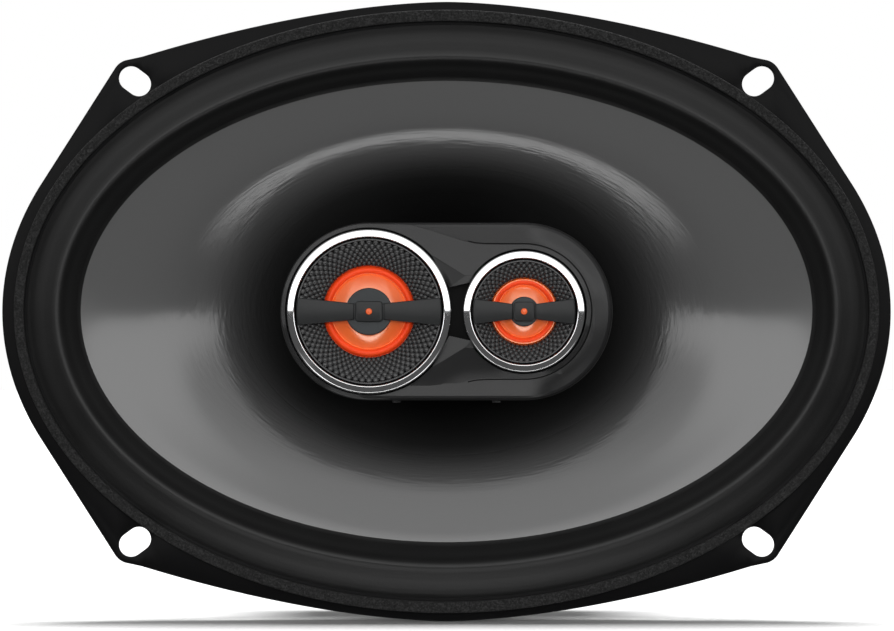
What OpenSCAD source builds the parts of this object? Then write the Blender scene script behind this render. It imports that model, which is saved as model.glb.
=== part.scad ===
// Oval coaxial car speaker: steel basket, elliptical woofer and a pod with two small drivers.
// Each sub-part is drawn face up (acoustic axis along Z, front towards +Z, long axis along X)
// and stand() turns it upright, so the front faces -Y and the flange's rear face lies on Y = 0.

/* [Flange] */
// Overall width of the mounting flange
flange_w = 235; // [230:0.5:240]
// Overall height of the mounting flange
flange_h = 163.8; // [160:0.2:168]
// Thickness of the flange plate
flange_t = 1.6; // [1.2:0.1:2.2]
// Distance between screw slots along the long axis
slot_span_x = 164.8; // [163:0.2:167]
// Distance between screw slots along the short axis
slot_span_y = 121.8; // [120:0.2:123]
// Radius of a screw slot's round ends
slot_r = 3.2; // [2.4:0.1:3.4]
// Distance between the centres of a slot's two ends
slot_travel = 2.6; // [1:0.2:3]

/* [Woofer] */
// Half length of the cone's rim along the long axis
rim_a = 97.2; // [96:0.2:98]
// Half length of the cone's rim along the short axis
rim_b = 61.4; // [60:0.2:62]
// Depth from the flange seat to the cone's neck
neck_depth = 34; // [32:0.5:36]
// Radius of the voice coil former's bore
former_r = 19; // [18.9:0.05:19.1]
// Largest travel of the cone each way
travel = 5; // [3:0.5:5]

/* [Motor] */
// Radius of the ferrite magnet
magnet_r = 50; // [46:1:52]
// Thickness of the ferrite magnet
magnet_h = 16; // [14:1:18]
// Radius of the steel plates
plate_r = 45; // [40:1:46]
// Thickness of the front plate
plate_h = 6; // [5:0.5:8]

/* [Pod] */
// Radius of the pod's round ends
pod_r = 23.4; // [23.2:0.1:24]
// Distance of each small driver from the middle
driver_x = 20.4; // [20.3:0.1:20.6]
// Height of the pod's front above the flange seat
pod_front = 13; // [12.5:0.5:14]

/* [Hidden] */
$fn = 96;
eps = 0.05;           // clearance between pieces that touch but move apart
oval_steps = 96;      // points round each oval

// Flange outline and basket
ear_r = 5;            // corner radius of each ear
side_b = flange_h / 2 + 0.6;
top_power = 1.7;      // shape of the long edges between the ears
top_drop = 15.9;      // fall of a long edge from its middle to the ear
well_a = 107.3;
well_b = 72.3;
wall_t = 1.2;
well_depth = 10;
ledge_w = 4.5;
shelf_r = 58;         // outside of the spider's shelf
shelf_z = -40;
pan_r = 51;
pan_bottom = -53.5;
pan_hole_r = 23;
arm_angles = [33, 90, 147, 213, 270, 327];
arm_half = 6;         // half of an arm, in degrees round the oval
arm_top = [well_a + wall_t - 0.3, well_b + wall_t - 0.3];
arm_top_z = -well_depth + 1;
arm_low_r = shelf_r - 0.1;
arm_low_z = shelf_z - wall_t + 0.1;

// Gasket and surround
gasket_out = [114.3, 79.7];
gasket_in = [111.7, 76.7];
gasket_h = 2.5;
roll_w = 14.4;        // width of the surround, rim to outer edge
roll_t = 0.7;

// Motor heights
plate_top = pan_bottom;
plate_low = plate_top - plate_h;
magnet_low = plate_low - magnet_h;
yoke_h = 5;
yoke_low = magnet_low - yoke_h;
pole_top = -53;
pole_r = former_r - 0.6;
former_t = 0.3;
coil_t = 0.7;
gap_r = former_r + former_t + coil_t + 0.6;
boot_t = 2;
boot_low = yoke_low - 2.7;
boot_top = -57;
rivet_circle_r = 36;
rivet_r = 2;

// Centre post and pod heights
post_r = 5;
post_bore_r = 3.2;
pod_floor = -9;
pod_wall = 1.5;
bezel_low = 5.6;
pocket_floor = 7.2;
band_top = 11;

// Terminal board, fixed to the lower arm
arm_tilt = atan((arm_top[1] - arm_low_r) / (arm_top_z - arm_low_z));
board_y = -mix(arm_top[1], arm_low_r, 0.5) - eps;
board_z = mix(arm_top_z, arm_low_z, 0.5);
board = [36, 1.6, 14];
board_up = 4;

// Small drivers: [centre x, trim ring outer, trim ring inner, waveguide outer, roll outer, dome, plug]
MID = [-driver_x, 21.6, 19.6, 19.1, 12.1, 9.9, 6.2];
TWEETER = [driver_x, 16, 14, 13.5, 8.9, 6.9, 3.9];
ledge_z = 12.8;       // bar rests here
bar_top = 14.2;
motor_top = 7.5;
motor_low = -2;

function mix(a, b, t) = a + (b - a) * t;
function oval(a, b, n = oval_steps) = [for (i = [0 : n - 1]) [a * cos(360 * i / n), b * sin(360 * i / n)]];
function mirrored(points, sx, sy) =
  let (m = [for (p = points) [p[0] * sx, p[1] * sy]])
  sx * sy > 0 ? m : [for (i = [len(m) - 1 : -1 : 0]) m[i]];

slot_angle = atan(slot_span_y / slot_span_x);
ear = [slot_span_x / 2, slot_span_y / 2] + slot_travel / 2 * [cos(slot_angle), sin(slot_angle)];
// One quarter of the flange outline: oval side, ear, then the gently curved long edge.
quarter = concat(
  [for (t = [0 : 5 : 25]) [flange_w / 2 * cos(t), side_b * sin(t)]],
  [for (t = [33 : 8 : 73]) ear + ear_r * [cos(t), sin(t)]],
  [for (x = [78 : -6 : 6]) [x, flange_h / 2 - top_drop * pow(x / 85, top_power)]],
  [[0, flange_h / 2]]
);
function without_last(p) = [for (i = [0 : len(p) - 2]) p[i]];
function without_first(p) = [for (i = [1 : len(p) - 1]) p[i]];
outline = concat(
  quarter,
  without_first(mirrored(quarter, -1, 1)),
  without_first(mirrored(quarter, -1, -1)),
  without_first(without_last(mirrored(quarter, 1, -1)))
);

// The cone's depth at share s of the way from its neck to its rim
function cone_z(s) = -neck_depth + (neck_depth - 2.4) * (1 - pow(1 - s, 2.2));
neck_r = former_r + former_t + 0.1;
function cone_ring(s, down) = [mix(neck_r, rim_a, s), mix(neck_r, rim_b, s), cone_z(s) - down];

// Surround section: [distance outside the rim, height], the front surface
roll_front = [
  [0.1, -1.7], [0.9, -1.5], [2.2, 0.6], [3.6, 3.4], [4.9, 5.1], [6, 5.65], [7.1, 5.35],
  [8.4, 4.7], [9.7, 4.05], [11, 3.45], [12.2, 2.9], [13, 2.45], [13.7, 2.3], [roll_w, 2.3]
];
function roll_ring(p, down) = [rim_a + p[0] * 0.95, rim_b + p[0], p[1] - down];

module stand() { rotate([90, 0, 0]) children(); }

// A closed band swept round the oval; each ring is [half length, half width, height].
module oval_sweep(rings, from = 0, to = 360, steps = oval_steps) {
  whole = to - from >= 360;
  stops = whole ? steps : steps + 1;
  m = len(rings);
  points = [for (i = [0 : stops - 1]) let (t = from + (to - from) * i / steps)
    for (r = rings) [r[0] * cos(t), r[1] * sin(t), r[2]]];
  last = whole ? stops - 1 : stops - 2;
  sides = [for (i = [0 : last], j = [0 : m - 1]) let (k = (i + 1) % stops, l = (j + 1) % m)
    each [[i * m + j, k * m + j, k * m + l], [i * m + j, k * m + l, i * m + l]]];
  caps = whole ? [] : [
    [for (j = [0 : m - 1]) j],
    [for (j = [m - 1 : -1 : 0]) (stops - 1) * m + j]
  ];
  polyhedron(points, concat(sides, caps), convexity = 6);
}

// A round tube of radius r swept along route.
module tube(route, r, sides = 8) {
  n = len(route);
  function unit(v) = v / norm(v);
  function along(i) = unit(route[min(i + 1, n - 1)] - route[max(i - 1, 0)]);
  points = [for (i = [0 : n - 1])
    let (d = along(i), u = unit(cross(d, abs(d[0]) < 0.9 ? [1, 0, 0] : [0, 1, 0])), v = cross(d, u))
    for (k = [0 : sides - 1]) route[i] + r * (cos(360 * k / sides) * u + sin(360 * k / sides) * v)];
  walls = [for (i = [0 : n - 2], k = [0 : sides - 1]) let (l = (k + 1) % sides)
    each [[i * sides + k, i * sides + l, (i + 1) * sides + l],
          [i * sides + k, (i + 1) * sides + l, (i + 1) * sides + k]]];
  polyhedron(points, concat(walls, [
    [for (k = [sides - 1 : -1 : 0]) k],
    [for (k = [0 : sides - 1]) (n - 1) * sides + k]
  ]));
}

module disc(r, low, high, at = [0, 0]) {
  translate([at[0], at[1], low]) cylinder(r = r, h = high - low);
}

module hoop(r_out, r_in, low, high, x = 0) {
  translate([x, 0, low]) difference() {
    cylinder(r = r_out, h = high - low);
    translate([0, 0, -1]) cylinder(r = r_in, h = high - low + 2);
  }
}

module oval_hoop(outer, inner, low, high) {
  translate([0, 0, low]) linear_extrude(high - low) difference() {
    polygon(oval(outer[0], outer[1]));
    polygon(oval(inner[0], inner[1]));
  }
}

// ---- Basket and flange -------------------------------------------------------------------

module screw_slot(angle) {
  rotate(angle) {
    for (s = [-1, 1]) translate([s * slot_travel / 2, 0, -1]) cylinder(r = slot_r, h = flange_t + 2);
    translate([-slot_travel / 2, -slot_r, -1]) cube([slot_travel, 2 * slot_r, flange_t + 2]);
  }
}

module flange() {
  difference() {
    linear_extrude(flange_t) difference() {
      polygon(outline);
      polygon(oval(well_a, well_b));
    }
    for (sx = [-1, 1], sy = [-1, 1])
      translate([sx * slot_span_x / 2, sy * slot_span_y / 2, 0]) screw_slot(sx * sy * slot_angle);
  }
}

module basket_pan() {
  difference() {
    rotate_extrude() polygon([
      [shelf_r, shelf_z + 2], [shelf_r - wall_t, shelf_z + 2], [shelf_r - wall_t, shelf_z],
      [pan_r - wall_t, shelf_z], [pan_r - wall_t, pan_bottom + wall_t], [pan_hole_r, pan_bottom + wall_t],
      [pan_hole_r, pan_bottom], [pan_r, pan_bottom], [pan_r, shelf_z - wall_t], [shelf_r, shelf_z - wall_t]
    ]);
    at_rivets() cylinder(r = rivet_r, h = 4, center = true);
  }
}

module at_rivets() {
  for (a = [45 : 90 : 315])
    rotate(a) translate([rivet_circle_r, 0, pan_bottom + wall_t / 2]) children();
}

module basket_arm(angle) {
  sheet = wall_t + 0.2;
  oval_sweep([
    [arm_top[0], arm_top[1], arm_top_z],
    [arm_low_r, arm_low_r, arm_low_z],
    [arm_low_r - sheet, arm_low_r - sheet, arm_low_z + wall_t],
    [arm_top[0] - sheet, arm_top[1] - sheet, arm_top_z]
  ], angle - arm_half, angle + arm_half, 4);
}

module basket() stand() color([0.07, 0.07, 0.075]) union() {
  flange();
  oval_hoop([well_a + wall_t, well_b + wall_t], [well_a, well_b], -well_depth, 0);
  oval_hoop([well_a + wall_t, well_b + wall_t], [well_a - ledge_w, well_b - ledge_w],
    -well_depth - wall_t, -well_depth);
  for (a = arm_angles) basket_arm(a);
  basket_pan();
}

module front_gasket() stand() color([0.17, 0.17, 0.17])
  oval_hoop(gasket_out, gasket_in, flange_t, flange_t + gasket_h);

module basket_rivets() stand() color([0.62, 0.62, 0.64]) at_rivets() {
  translate([0, 0, -wall_t / 2 - 3]) cylinder(r = rivet_r, h = wall_t + 3);
  translate([0, 0, wall_t / 2]) cylinder(r = rivet_r + 1.5, h = 1.2);
}

// ---- Woofer moving parts and suspension ------------------------------------------------------

cone_steps = 10;
module woofer_cone() stand() color([0.36, 0.36, 0.35]) oval_sweep(concat(
  [for (i = [0 : cone_steps]) cone_ring(i / cone_steps, 0)],
  [for (i = [cone_steps : -1 : 0]) cone_ring(i / cone_steps, 0.8)]
), steps = 72);

module surround() stand() color([0.06, 0.06, 0.06]) oval_sweep(concat(
  [for (p = roll_front) roll_ring(p, 0)],
  [for (i = [len(roll_front) - 1 : -1 : 0]) roll_ring(roll_front[i], roll_t)]
), steps = 72);

spider_in = former_r + former_t + eps;
spider_out = shelf_r - wall_t - 0.4;
spider_land = pan_r - wall_t - 0.4;
waves = 5;
function wave_z(r) = shelf_z + 0.9 + 1.3 * sin(360 * waves * (r - spider_in - 2) / (spider_land - spider_in - 2));
spider_radii = [for (i = [0 : 40]) mix(spider_in + 2, spider_land, i / 40)];
module spider() stand() color([0.75, 0.62, 0.25]) rotate_extrude() polygon(concat(
  [[spider_in, wave_z(spider_radii[0])]],
  [for (r = spider_radii) [r, wave_z(r)]],
  [[spider_out, shelf_z + 0.5], [spider_out, shelf_z]],
  [[spider_land, shelf_z]],
  [for (i = [39 : -1 : 0]) [spider_radii[i], wave_z(spider_radii[i]) - 0.5]],
  [[spider_in, wave_z(spider_radii[0]) - 0.5]]
));

module coil_former() stand() color([0.8, 0.8, 0.82]) hoop(former_r + former_t, former_r, -64, -neck_depth + 1);

module voice_coil() stand() color([0.72, 0.36, 0.18])
  hoop(former_r + former_t + coil_t, former_r + former_t, -62, -51);

// ---- Motor -----------------------------------------------------------------------------------

module top_plate() stand() color([0.5, 0.5, 0.52]) difference() {
  hoop(plate_r, gap_r, plate_low, plate_top);
  at_rivets() translate([0, 0, -wall_t / 2 - 3]) cylinder(r = rivet_r, h = 4);
}

module magnet() stand() color([0.2, 0.2, 0.21]) hoop(magnet_r, gap_r + 3.4, magnet_low, plate_low);

module pole_yoke() stand() color([0.5, 0.5, 0.52]) difference() {
  union() {
    disc(plate_r, yoke_low, magnet_low);
    disc(pole_r, magnet_low, pole_top);
  }
  disc(post_r, yoke_low - 1, pole_top + 1);
  disc(post_r + 4, yoke_low - 1, yoke_low + 3.5);
}

module magnet_boot() stand() color([0.05, 0.05, 0.055]) difference() {
  union() {
    disc(magnet_r + boot_t + 0.2, boot_low, boot_top);
    translate([-3.6, -magnet_r - boot_t - 2, boot_low]) cube([7.2, 8, boot_top - boot_low]);
  }
  disc(magnet_r + 0.1, boot_low + 1.2, boot_top + 1);
  translate([-2.2, -magnet_r - boot_t - 0.5, boot_low + 1.2]) cube([4.4, 6, boot_top - boot_low]);
}

// ---- Terminals and wiring -----------------------------------------------------------------------

function on_board(x, out, up) = [
  x,
  board_y - out * cos(arm_tilt) - up * sin(arm_tilt),
  board_z - out * sin(arm_tilt) + up * cos(arm_tilt)
];

module at_board() { translate([0, board_y, board_z]) rotate([arm_tilt, 0, 0]) children(); }

tab_x = 10;
lead_x = 15.5;
// Where each tinsel lead meets the back of the cone
lead_share = 0.3;
lead_turn = 12;
lead_end = [
  mix(neck_r, rim_a, lead_share) * sin(lead_turn),
  -mix(neck_r, rim_b, lead_share) * cos(lead_turn),
  cone_z(lead_share)
];
module terminal_board() stand() color([0.06, 0.06, 0.06]) difference() {
  at_board() translate([-board[0] / 2, -board[1] - eps, board_up - board[2] / 2]) cube(board);
  for (x = [-tab_x, 0, tab_x])
    at_board() translate([x, 0, board_up]) rotate([90, 0, 0]) cylinder(r = 1.2, h = 6, center = true);
}

// A push-on blade lying on the board, its free end pointing to the rear.
module blade(x, w) {
  difference() {
    at_board() translate([x - w / 2, -board[1] - 0.8 - eps, board_up - 15]) cube([w, 0.8, 19]);
    at_board() translate([x, 0, board_up]) rotate([90, 0, 0]) cylinder(r = 1.2, h = 8, center = true);
    at_board() translate([x, 0, board_up - 12]) rotate([90, 0, 0]) cylinder(r = 0.8, h = 8, center = true);
  }
}
module terminal_positive() stand() color([0.85, 0.68, 0.3]) blade(tab_x, 6.35);
module terminal_negative() stand() color([0.85, 0.68, 0.3]) blade(-tab_x, 4.75);

module rivet_on_board(x, length, under) {
  at_board() translate([x, -under, board_up]) rotate([90, 0, 0]) {
    cylinder(r = 1.2, h = length);
    translate([0, 0, length]) cylinder(r = 2.1, h = 0.9);
  }
}
module terminal_rivets() stand() color([0.7, 0.7, 0.72]) {
  rivet_on_board(tab_x, board[1] + 0.8, eps);
  rivet_on_board(-tab_x, board[1] + 0.8, eps);
  rivet_on_board(0, board[1], eps);
}

function lead_route(side) = [
  on_board(side * lead_x, -0.8, board_up - 1),
  on_board(side * (lead_x - 0.3), -4, board_up + 0.5),
  [side * 14, -57, -20], [side * 13, -52, -23], [side * 12, -47, -26], [side * 11, -42, -27],
  [side * 10, -38, -25.5], [side * 9.3, -34.6, -23], [side * lead_end[0], lead_end[1], lead_end[2] - 1.9]
];
module tinsel_leads() stand() color([0.6, 0.5, 0.35]) for (side = [-1, 1]) tube(lead_route(side), 0.7);

wire_r = 0.6;
wire_z = yoke_low - 0.75;
wire_y = -magnet_r - 1.4;
function feed_route(side) = [
  on_board(side * 6, 2.3, board_up + 3), on_board(side * 3.4, 2.6, board_up + 3.4),
  on_board(side * 1.2, 3.6, board_up + 2), on_board(side * 0.8, 3.8, board_up - 1),
  on_board(side * 0.8, 3.8, board_up - 8), [side * 0.8, -62, -40], [side * 0.8, -60, -45],
  [side * 0.8, -56.5, -50], [side * 0.8, -53, -53.2], [side * 0.8, wire_y, boot_top + 1.4],
  [side * 0.8, wire_y, boot_top - 4], [side * 0.8, wire_y, wire_z + 4],
  [side * 0.8, wire_y + 0.9, wire_z + 1], [side * 0.8, -48, wire_z],
  [side * 0.8, -30, wire_z], [side * 0.8, -6, wire_z], [side * 0.8, -1.5, wire_z + 0.4],
  [side * 0.8, 0, wire_z + 2], [side * 0.8, 0, -60], [side * 0.8, 0, -20], [side * 0.8, 0, -4.5]
];
module feed_wires() stand() color([0.1, 0.1, 0.1]) for (side = [-1, 1]) tube(feed_route(side), wire_r);

// ---- Pod -------------------------------------------------------------------------------------------

module stadium(r, low, high) {
  for (s = [-1, 1]) disc(r, low, high, [s * driver_x, 0]);
  translate([-driver_x, -r, low]) cube([2 * driver_x, 2 * r, high - low]);
}

module centre_post() stand() color([0.1, 0.1, 0.1]) difference() {
  union() {
    disc(post_r, yoke_low + 0.2, -4.9);
    disc(post_r + 2.5, pole_top, pole_top + 3);
    disc(post_r + 3.5, pod_floor - 2.5, pod_floor);
  }
  disc(post_bore_r, yoke_low - 1, 0);
}

module hex_nut(low, high) {
  translate([0, 0, low]) difference() {
    cylinder(r = 8, h = high - low, $fn = 6);
    translate([0, 0, -1]) cylinder(r = post_r, h = high - low + 2);
  }
}
module post_front_nut() stand() color([0.7, 0.7, 0.7]) hex_nut(pod_floor + pod_wall, -5);
module post_rear_nut() stand() color([0.7, 0.7, 0.7]) hex_nut(yoke_low + 0.3, yoke_low + 3.5);

pod_screw_at = [2.6, 16.8];
module at_pod_screws() { for (s = [-1, 1]) translate([pod_screw_at[0], s * pod_screw_at[1], 0]) children(); }

module pod_cup() stand() color([0.05, 0.05, 0.055]) difference() {
  union() {
    difference() {
      stadium(pod_r - 0.8, pod_floor, bezel_low);
      stadium(pod_r - 0.8 - pod_wall, pod_floor + pod_wall, bezel_low + 1);
    }
    at_pod_screws() disc(2.8, pod_floor, bezel_low);
    for (x = [-13.2, 13.2]) translate([x - 1.2, -pod_r - 0.7, 1.5]) cube([2.4, 1.8, 2.4]);
  }
  disc(post_r + 0.1, pod_floor - 1, pod_floor + pod_wall + 1);
  at_pod_screws() disc(1.2, pod_floor - 1, bezel_low + 1);
}

module pod_screws() stand() color([0.55, 0.55, 0.57]) at_pod_screws() {
  disc(1.2, pod_floor, 8.5);
  disc(2.4, pod_floor - 1.2, pod_floor);
}

// Raised part of the bezel: round the large driver, narrowing to the small one
module deck_outline() {
  translate([-driver_x, 0]) circle(r = pod_r - 0.1);
  translate([driver_x, 0]) circle(r = TWEETER[1] + 1.7);
  polygon([
    [-9.2, 22.9], [7.5, 17.9], [driver_x, 17.7], [driver_x, -17.7], [7.5, -17.9], [-9.2, -22.9],
    [-driver_x, -pod_r + 0.1], [-driver_x, pod_r - 0.1]
  ]);
}

module pod_bezel() stand() color([0.16, 0.16, 0.16]) difference() {
  union() {
    stadium(pod_r, bezel_low, band_top);
    translate([0, 0, band_top]) linear_extrude(pod_front - band_top) intersection() {
      deck_outline();
      square([2 * (driver_x + pod_r) - 0.2, 2 * pod_r - 0.1], center = true);
    }
  }
  for (d = [MID, TWEETER]) {
    disc(d[1] + 0.1, pocket_floor, pod_front + 1, [d[0], 0]);
    disc(d[4] + 1, bezel_low - 1, pocket_floor + 1, [d[0], 0]);
  }
  at_pod_screws() disc(1.2, bezel_low - 1, 8.5);
}

module crossover_board() stand() color([0.1, 0.25, 0.12]) difference() {
  translate([-7.4, -13, -4.4]) cube([17.8, 26, 1.2]);
  disc(2.4, -6, 0);
}

module capacitor(x, z, r, l) {
  translate([x, l / 2, z]) rotate([90, 0, 0]) cylinder(r = r, h = l);
}
module mid_capacitor() stand() color([0.1, 0.1, 0.35]) capacitor(-3.4, 0.6, 3.7, 16);
module tweeter_capacitor() stand() color([0.1, 0.1, 0.35]) capacitor(6, -0.2, 2.9, 12);

// ---- Small drivers: every module takes one driver's row of radii ---------------------------------

module trim_ring(d) color([0.8, 0.8, 0.8]) translate([d[0], 0, 0]) rotate_extrude() polygon([
  [d[2], 8.8], [d[1], 8.8], [d[1], 13.4], [d[1] - 0.5, 14.1], [d[2] + 0.5, 14.1], [d[2], 13.6]
]);

module waveguide(d) color([0.05, 0.05, 0.05]) translate([d[0], 0, 0]) rotate_extrude() polygon([
  [d[4] + 0.4, 8.8], [d[3], 8.8], [d[3], ledge_z], [d[3] - 0.6, ledge_z], [d[4] + 0.4, 10.4]
]);

// Outer ring of the driver's frame; the motor cup is seated in it.
module frame_ring(d) color([0.08, 0.08, 0.08]) hoop(d[1], d[4] + 0.3, pocket_floor, 8.8, d[0]);

// Bow-tie bar across the mouth
module bridge(d) color([0.13, 0.13, 0.13]) translate([d[0], 0, ledge_z]) linear_extrude(bar_top - ledge_z)
  intersection() {
    circle(r = d[3]);
    polygon([
      [d[3], 3.75], [3.6, 2.05], [-3.6, 2.05], [-d[3], 3.75],
      [-d[3], -3.75], [-3.6, -2.05], [3.6, -2.05], [d[3], -3.75]
    ]);
  }

module bridge_dot(d) color([0.95, 0.35, 0.12]) disc(0.85, bar_top, bar_top + 0.35, [d[0], 0]);

module phase_plug(d) color([0.1, 0.1, 0.1]) disc(d[6], 12, ledge_z, [d[0], 0]);

dome_low = 9;
dome_rise = 1.9;
skin = 0.25;
function dome_z(r, edge) = dome_low + dome_rise * (1 - pow(r / edge, 2));
function bead_z(r, d) = dome_low + 1.1 * sin(180 * (r - d[5]) / (d[4] - 0.5 - d[5]));
module diaphragm(d) color([0.95, 0.27, 0.1]) translate([d[0], 0, 0]) rotate_extrude() {
  dome = [for (i = [0 : 8]) d[5] * i / 8];
  bead = [for (i = [1 : 6]) mix(d[5], d[4] - 0.5, i / 6)];
  polygon(concat(
    [for (r = dome) [r, dome_z(r, d[5]) + skin]],
    [for (r = bead) [r, bead_z(r, d) + skin]],
    [[d[4], dome_low + skin], [d[4], dome_low]],
    [for (i = [5 : -1 : 0]) [bead[i], bead_z(bead[i], d)]],
    [for (i = [8 : -1 : 0]) [dome[i], dome_z(dome[i], d[5])]]
  ));
}

module small_coil(d) color([0.72, 0.36, 0.18]) hoop(d[5], d[5] - 0.4, 4.6, dome_low - eps, d[0]);

module small_front_plate(d) color([0.5, 0.5, 0.52]) disc(d[5] - 0.8, motor_top - 2.2, motor_top, [d[0], 0]);

module small_magnet(d) color([0.75, 0.75, 0.77]) disc(d[5] - 1.4, motor_low + 2.4, motor_top - 2.2, [d[0], 0]);

module small_cup(d) color([0.5, 0.5, 0.52]) difference() {
  disc(d[4] + 0.3, motor_low, motor_top, [d[0], 0]);
  disc(d[5] + 0.45, motor_low + 2.4, motor_top + 1, [d[0], 0]);
}

module mid_trim_ring() stand() trim_ring(MID);
module mid_waveguide() stand() waveguide(MID);
module mid_bridge() stand() bridge(MID);
module mid_bridge_dot() stand() bridge_dot(MID);
module mid_phase_plug() stand() phase_plug(MID);
module mid_frame_ring() stand() frame_ring(MID);
module mid_magnet() stand() small_magnet(MID);
module mid_cup() stand() small_cup(MID);
module mid_front_plate() stand() small_front_plate(MID);
module mid_diaphragm() stand() diaphragm(MID);
module mid_voice_coil() stand() small_coil(MID);
module tweeter_trim_ring() stand() trim_ring(TWEETER);
module tweeter_waveguide() stand() waveguide(TWEETER);
module tweeter_bridge() stand() bridge(TWEETER);
module tweeter_bridge_dot() stand() bridge_dot(TWEETER);
module tweeter_phase_plug() stand() phase_plug(TWEETER);
module tweeter_frame_ring() stand() frame_ring(TWEETER);
module tweeter_magnet() stand() small_magnet(TWEETER);
module tweeter_cup() stand() small_cup(TWEETER);
module tweeter_front_plate() stand() small_front_plate(TWEETER);
module tweeter_diaphragm() stand() diaphragm(TWEETER);
module tweeter_voice_coil() stand() small_coil(TWEETER);

basket();
front_gasket();
surround();
spider();
woofer_cone();
coil_former();
voice_coil();
top_plate();
magnet();
pole_yoke();
magnet_boot();
basket_rivets();
terminal_board();
terminal_positive();
terminal_negative();
terminal_rivets();
tinsel_leads();
feed_wires();
centre_post();
post_front_nut();
post_rear_nut();
pod_cup();
pod_bezel();
pod_screws();
crossover_board();
mid_capacitor();
tweeter_capacitor();
mid_trim_ring();
mid_waveguide();
mid_bridge();
mid_bridge_dot();
mid_phase_plug();
mid_frame_ring();
mid_magnet();
mid_cup();
mid_front_plate();
mid_diaphragm();
mid_voice_coil();
tweeter_trim_ring();
tweeter_waveguide();
tweeter_bridge();
tweeter_bridge_dot();
tweeter_phase_plug();
tweeter_frame_ring();
tweeter_magnet();
tweeter_cup();
tweeter_front_plate();
tweeter_diaphragm();
tweeter_voice_coil();
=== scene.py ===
import bpy, bmesh, math
import numpy as np
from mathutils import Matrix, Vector
from mathutils.geometry import delaunay_2d_cdt


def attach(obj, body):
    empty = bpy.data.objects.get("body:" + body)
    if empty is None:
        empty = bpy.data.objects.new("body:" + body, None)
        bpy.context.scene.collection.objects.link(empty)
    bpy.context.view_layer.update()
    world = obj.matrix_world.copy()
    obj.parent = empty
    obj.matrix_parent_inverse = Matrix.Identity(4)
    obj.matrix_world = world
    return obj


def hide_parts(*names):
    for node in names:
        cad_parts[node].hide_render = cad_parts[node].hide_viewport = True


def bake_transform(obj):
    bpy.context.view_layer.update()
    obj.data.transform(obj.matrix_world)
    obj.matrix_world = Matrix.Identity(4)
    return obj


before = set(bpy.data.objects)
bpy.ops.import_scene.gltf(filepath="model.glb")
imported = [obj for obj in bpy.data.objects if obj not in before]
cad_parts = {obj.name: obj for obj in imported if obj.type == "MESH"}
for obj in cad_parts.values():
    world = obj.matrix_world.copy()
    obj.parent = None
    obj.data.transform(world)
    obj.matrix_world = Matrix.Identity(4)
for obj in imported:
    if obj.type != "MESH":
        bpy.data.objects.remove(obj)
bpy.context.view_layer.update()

# Everything below is drawn as part.scad draws it: millimetres, face up, front towards +Z.
# P() stands it upright in the row frame, in metres.
def P(x, y, z):
    return (x * 0.001, -z * 0.001, y * 0.001)


def mix(a, b, t):
    return a + (b - a) * t


def smooth01(t):
    t = min(1.0, max(0.0, t))
    return t * t * (3 - 2 * t)


# ------------------------------------------------------------------ sizes, as in part.scad
FLANGE_W, FLANGE_H, FLANGE_T = 235, 163.8, 1.6
SLOT = (82.4, 60.9)
SLOT_R, SLOT_TRAVEL = 3.2, 2.6
RIM = (97.2, 61.4)
FORMER_R, FORMER_T, COIL_T = 19, 0.3, 0.7
NECK_R, NECK_Z = 19.4, -34
WELL = (107.3, 72.3)
WALL = 1.2
SHELF_R, SHELF_Z, PAN_R, PAN_Z, PAN_HOLE = 58, -40, 51, -53.5, 23
ARMS = (33, 90, 147, 213, 270, 327)
ARM_TOP, ARM_TOP_Z, ARM_LOW_R, ARM_LOW_Z = (108.2, 73.2), -9, 57.9, -41.1
MAGNET_R, PLATE_R = 50, 45
PLATE_LOW, MAGNET_LOW, YOKE_LOW = -59.5, -75.5, -80.5
BOOT_LOW, BOOT_TOP = -83.2, -57
POD_R, DRIVER_X = 23.4, 20.4
MID = (-20.4, 21.6, 19.6, 19.1, 12.1, 9.9, 6.2)
TWEETER = (20.4, 16, 14, 13.5, 8.9, 6.9, 3.9)

# ------------------------------------------------------------------ mesh helpers
CHASSIS, CONE = "chassis", "cone"


def build(name, parts, mats, body, nodes=(), sharp=34, uv=None, weld=0.002):
    """One object from [(points in mm, faces, material index)], welded, outward facing, with edges over `sharp` degrees kept crisp."""
    bm = bmesh.new()
    uvl = bm.loops.layers.uv.new("UVMap")
    for part in parts:
        pts, faces, mi = part[0], part[1], part[2]
        uvs = part[3] if len(part) > 3 else None
        vs = [bm.verts.new(P(*p)) for p in pts]
        for fi, f in enumerate(faces):
            try:
                face = bm.faces.new([vs[i] for i in f])
            except ValueError:
                continue
            face.material_index = mi
            face.smooth = True
            for k, loop in enumerate(face.loops):
                if uvs is not None:
                    loop[uvl].uv = uvs[fi][k]
    bmesh.ops.remove_doubles(bm, verts=bm.verts, dist=weld * 0.001)
    bmesh.ops.dissolve_degenerate(bm, dist=1e-8, edges=bm.edges)
    bmesh.ops.recalc_face_normals(bm, faces=bm.faces)
    limit = math.radians(sharp)
    for e in bm.edges:
        if len(e.link_faces) == 2 and e.calc_face_angle(0) > limit:
            e.smooth = False
    me = bpy.data.meshes.new(name)
    bm.to_mesh(me)
    bm.free()
    ob = bpy.data.objects.new(name, me)
    bpy.context.scene.collection.objects.link(ob)
    for m in mats if isinstance(mats, (list, tuple)) else [mats]:
        me.materials.append(m.m)
    if body:
        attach(ob, body)
    if nodes:
        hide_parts(*nodes)
    return ob


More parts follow.
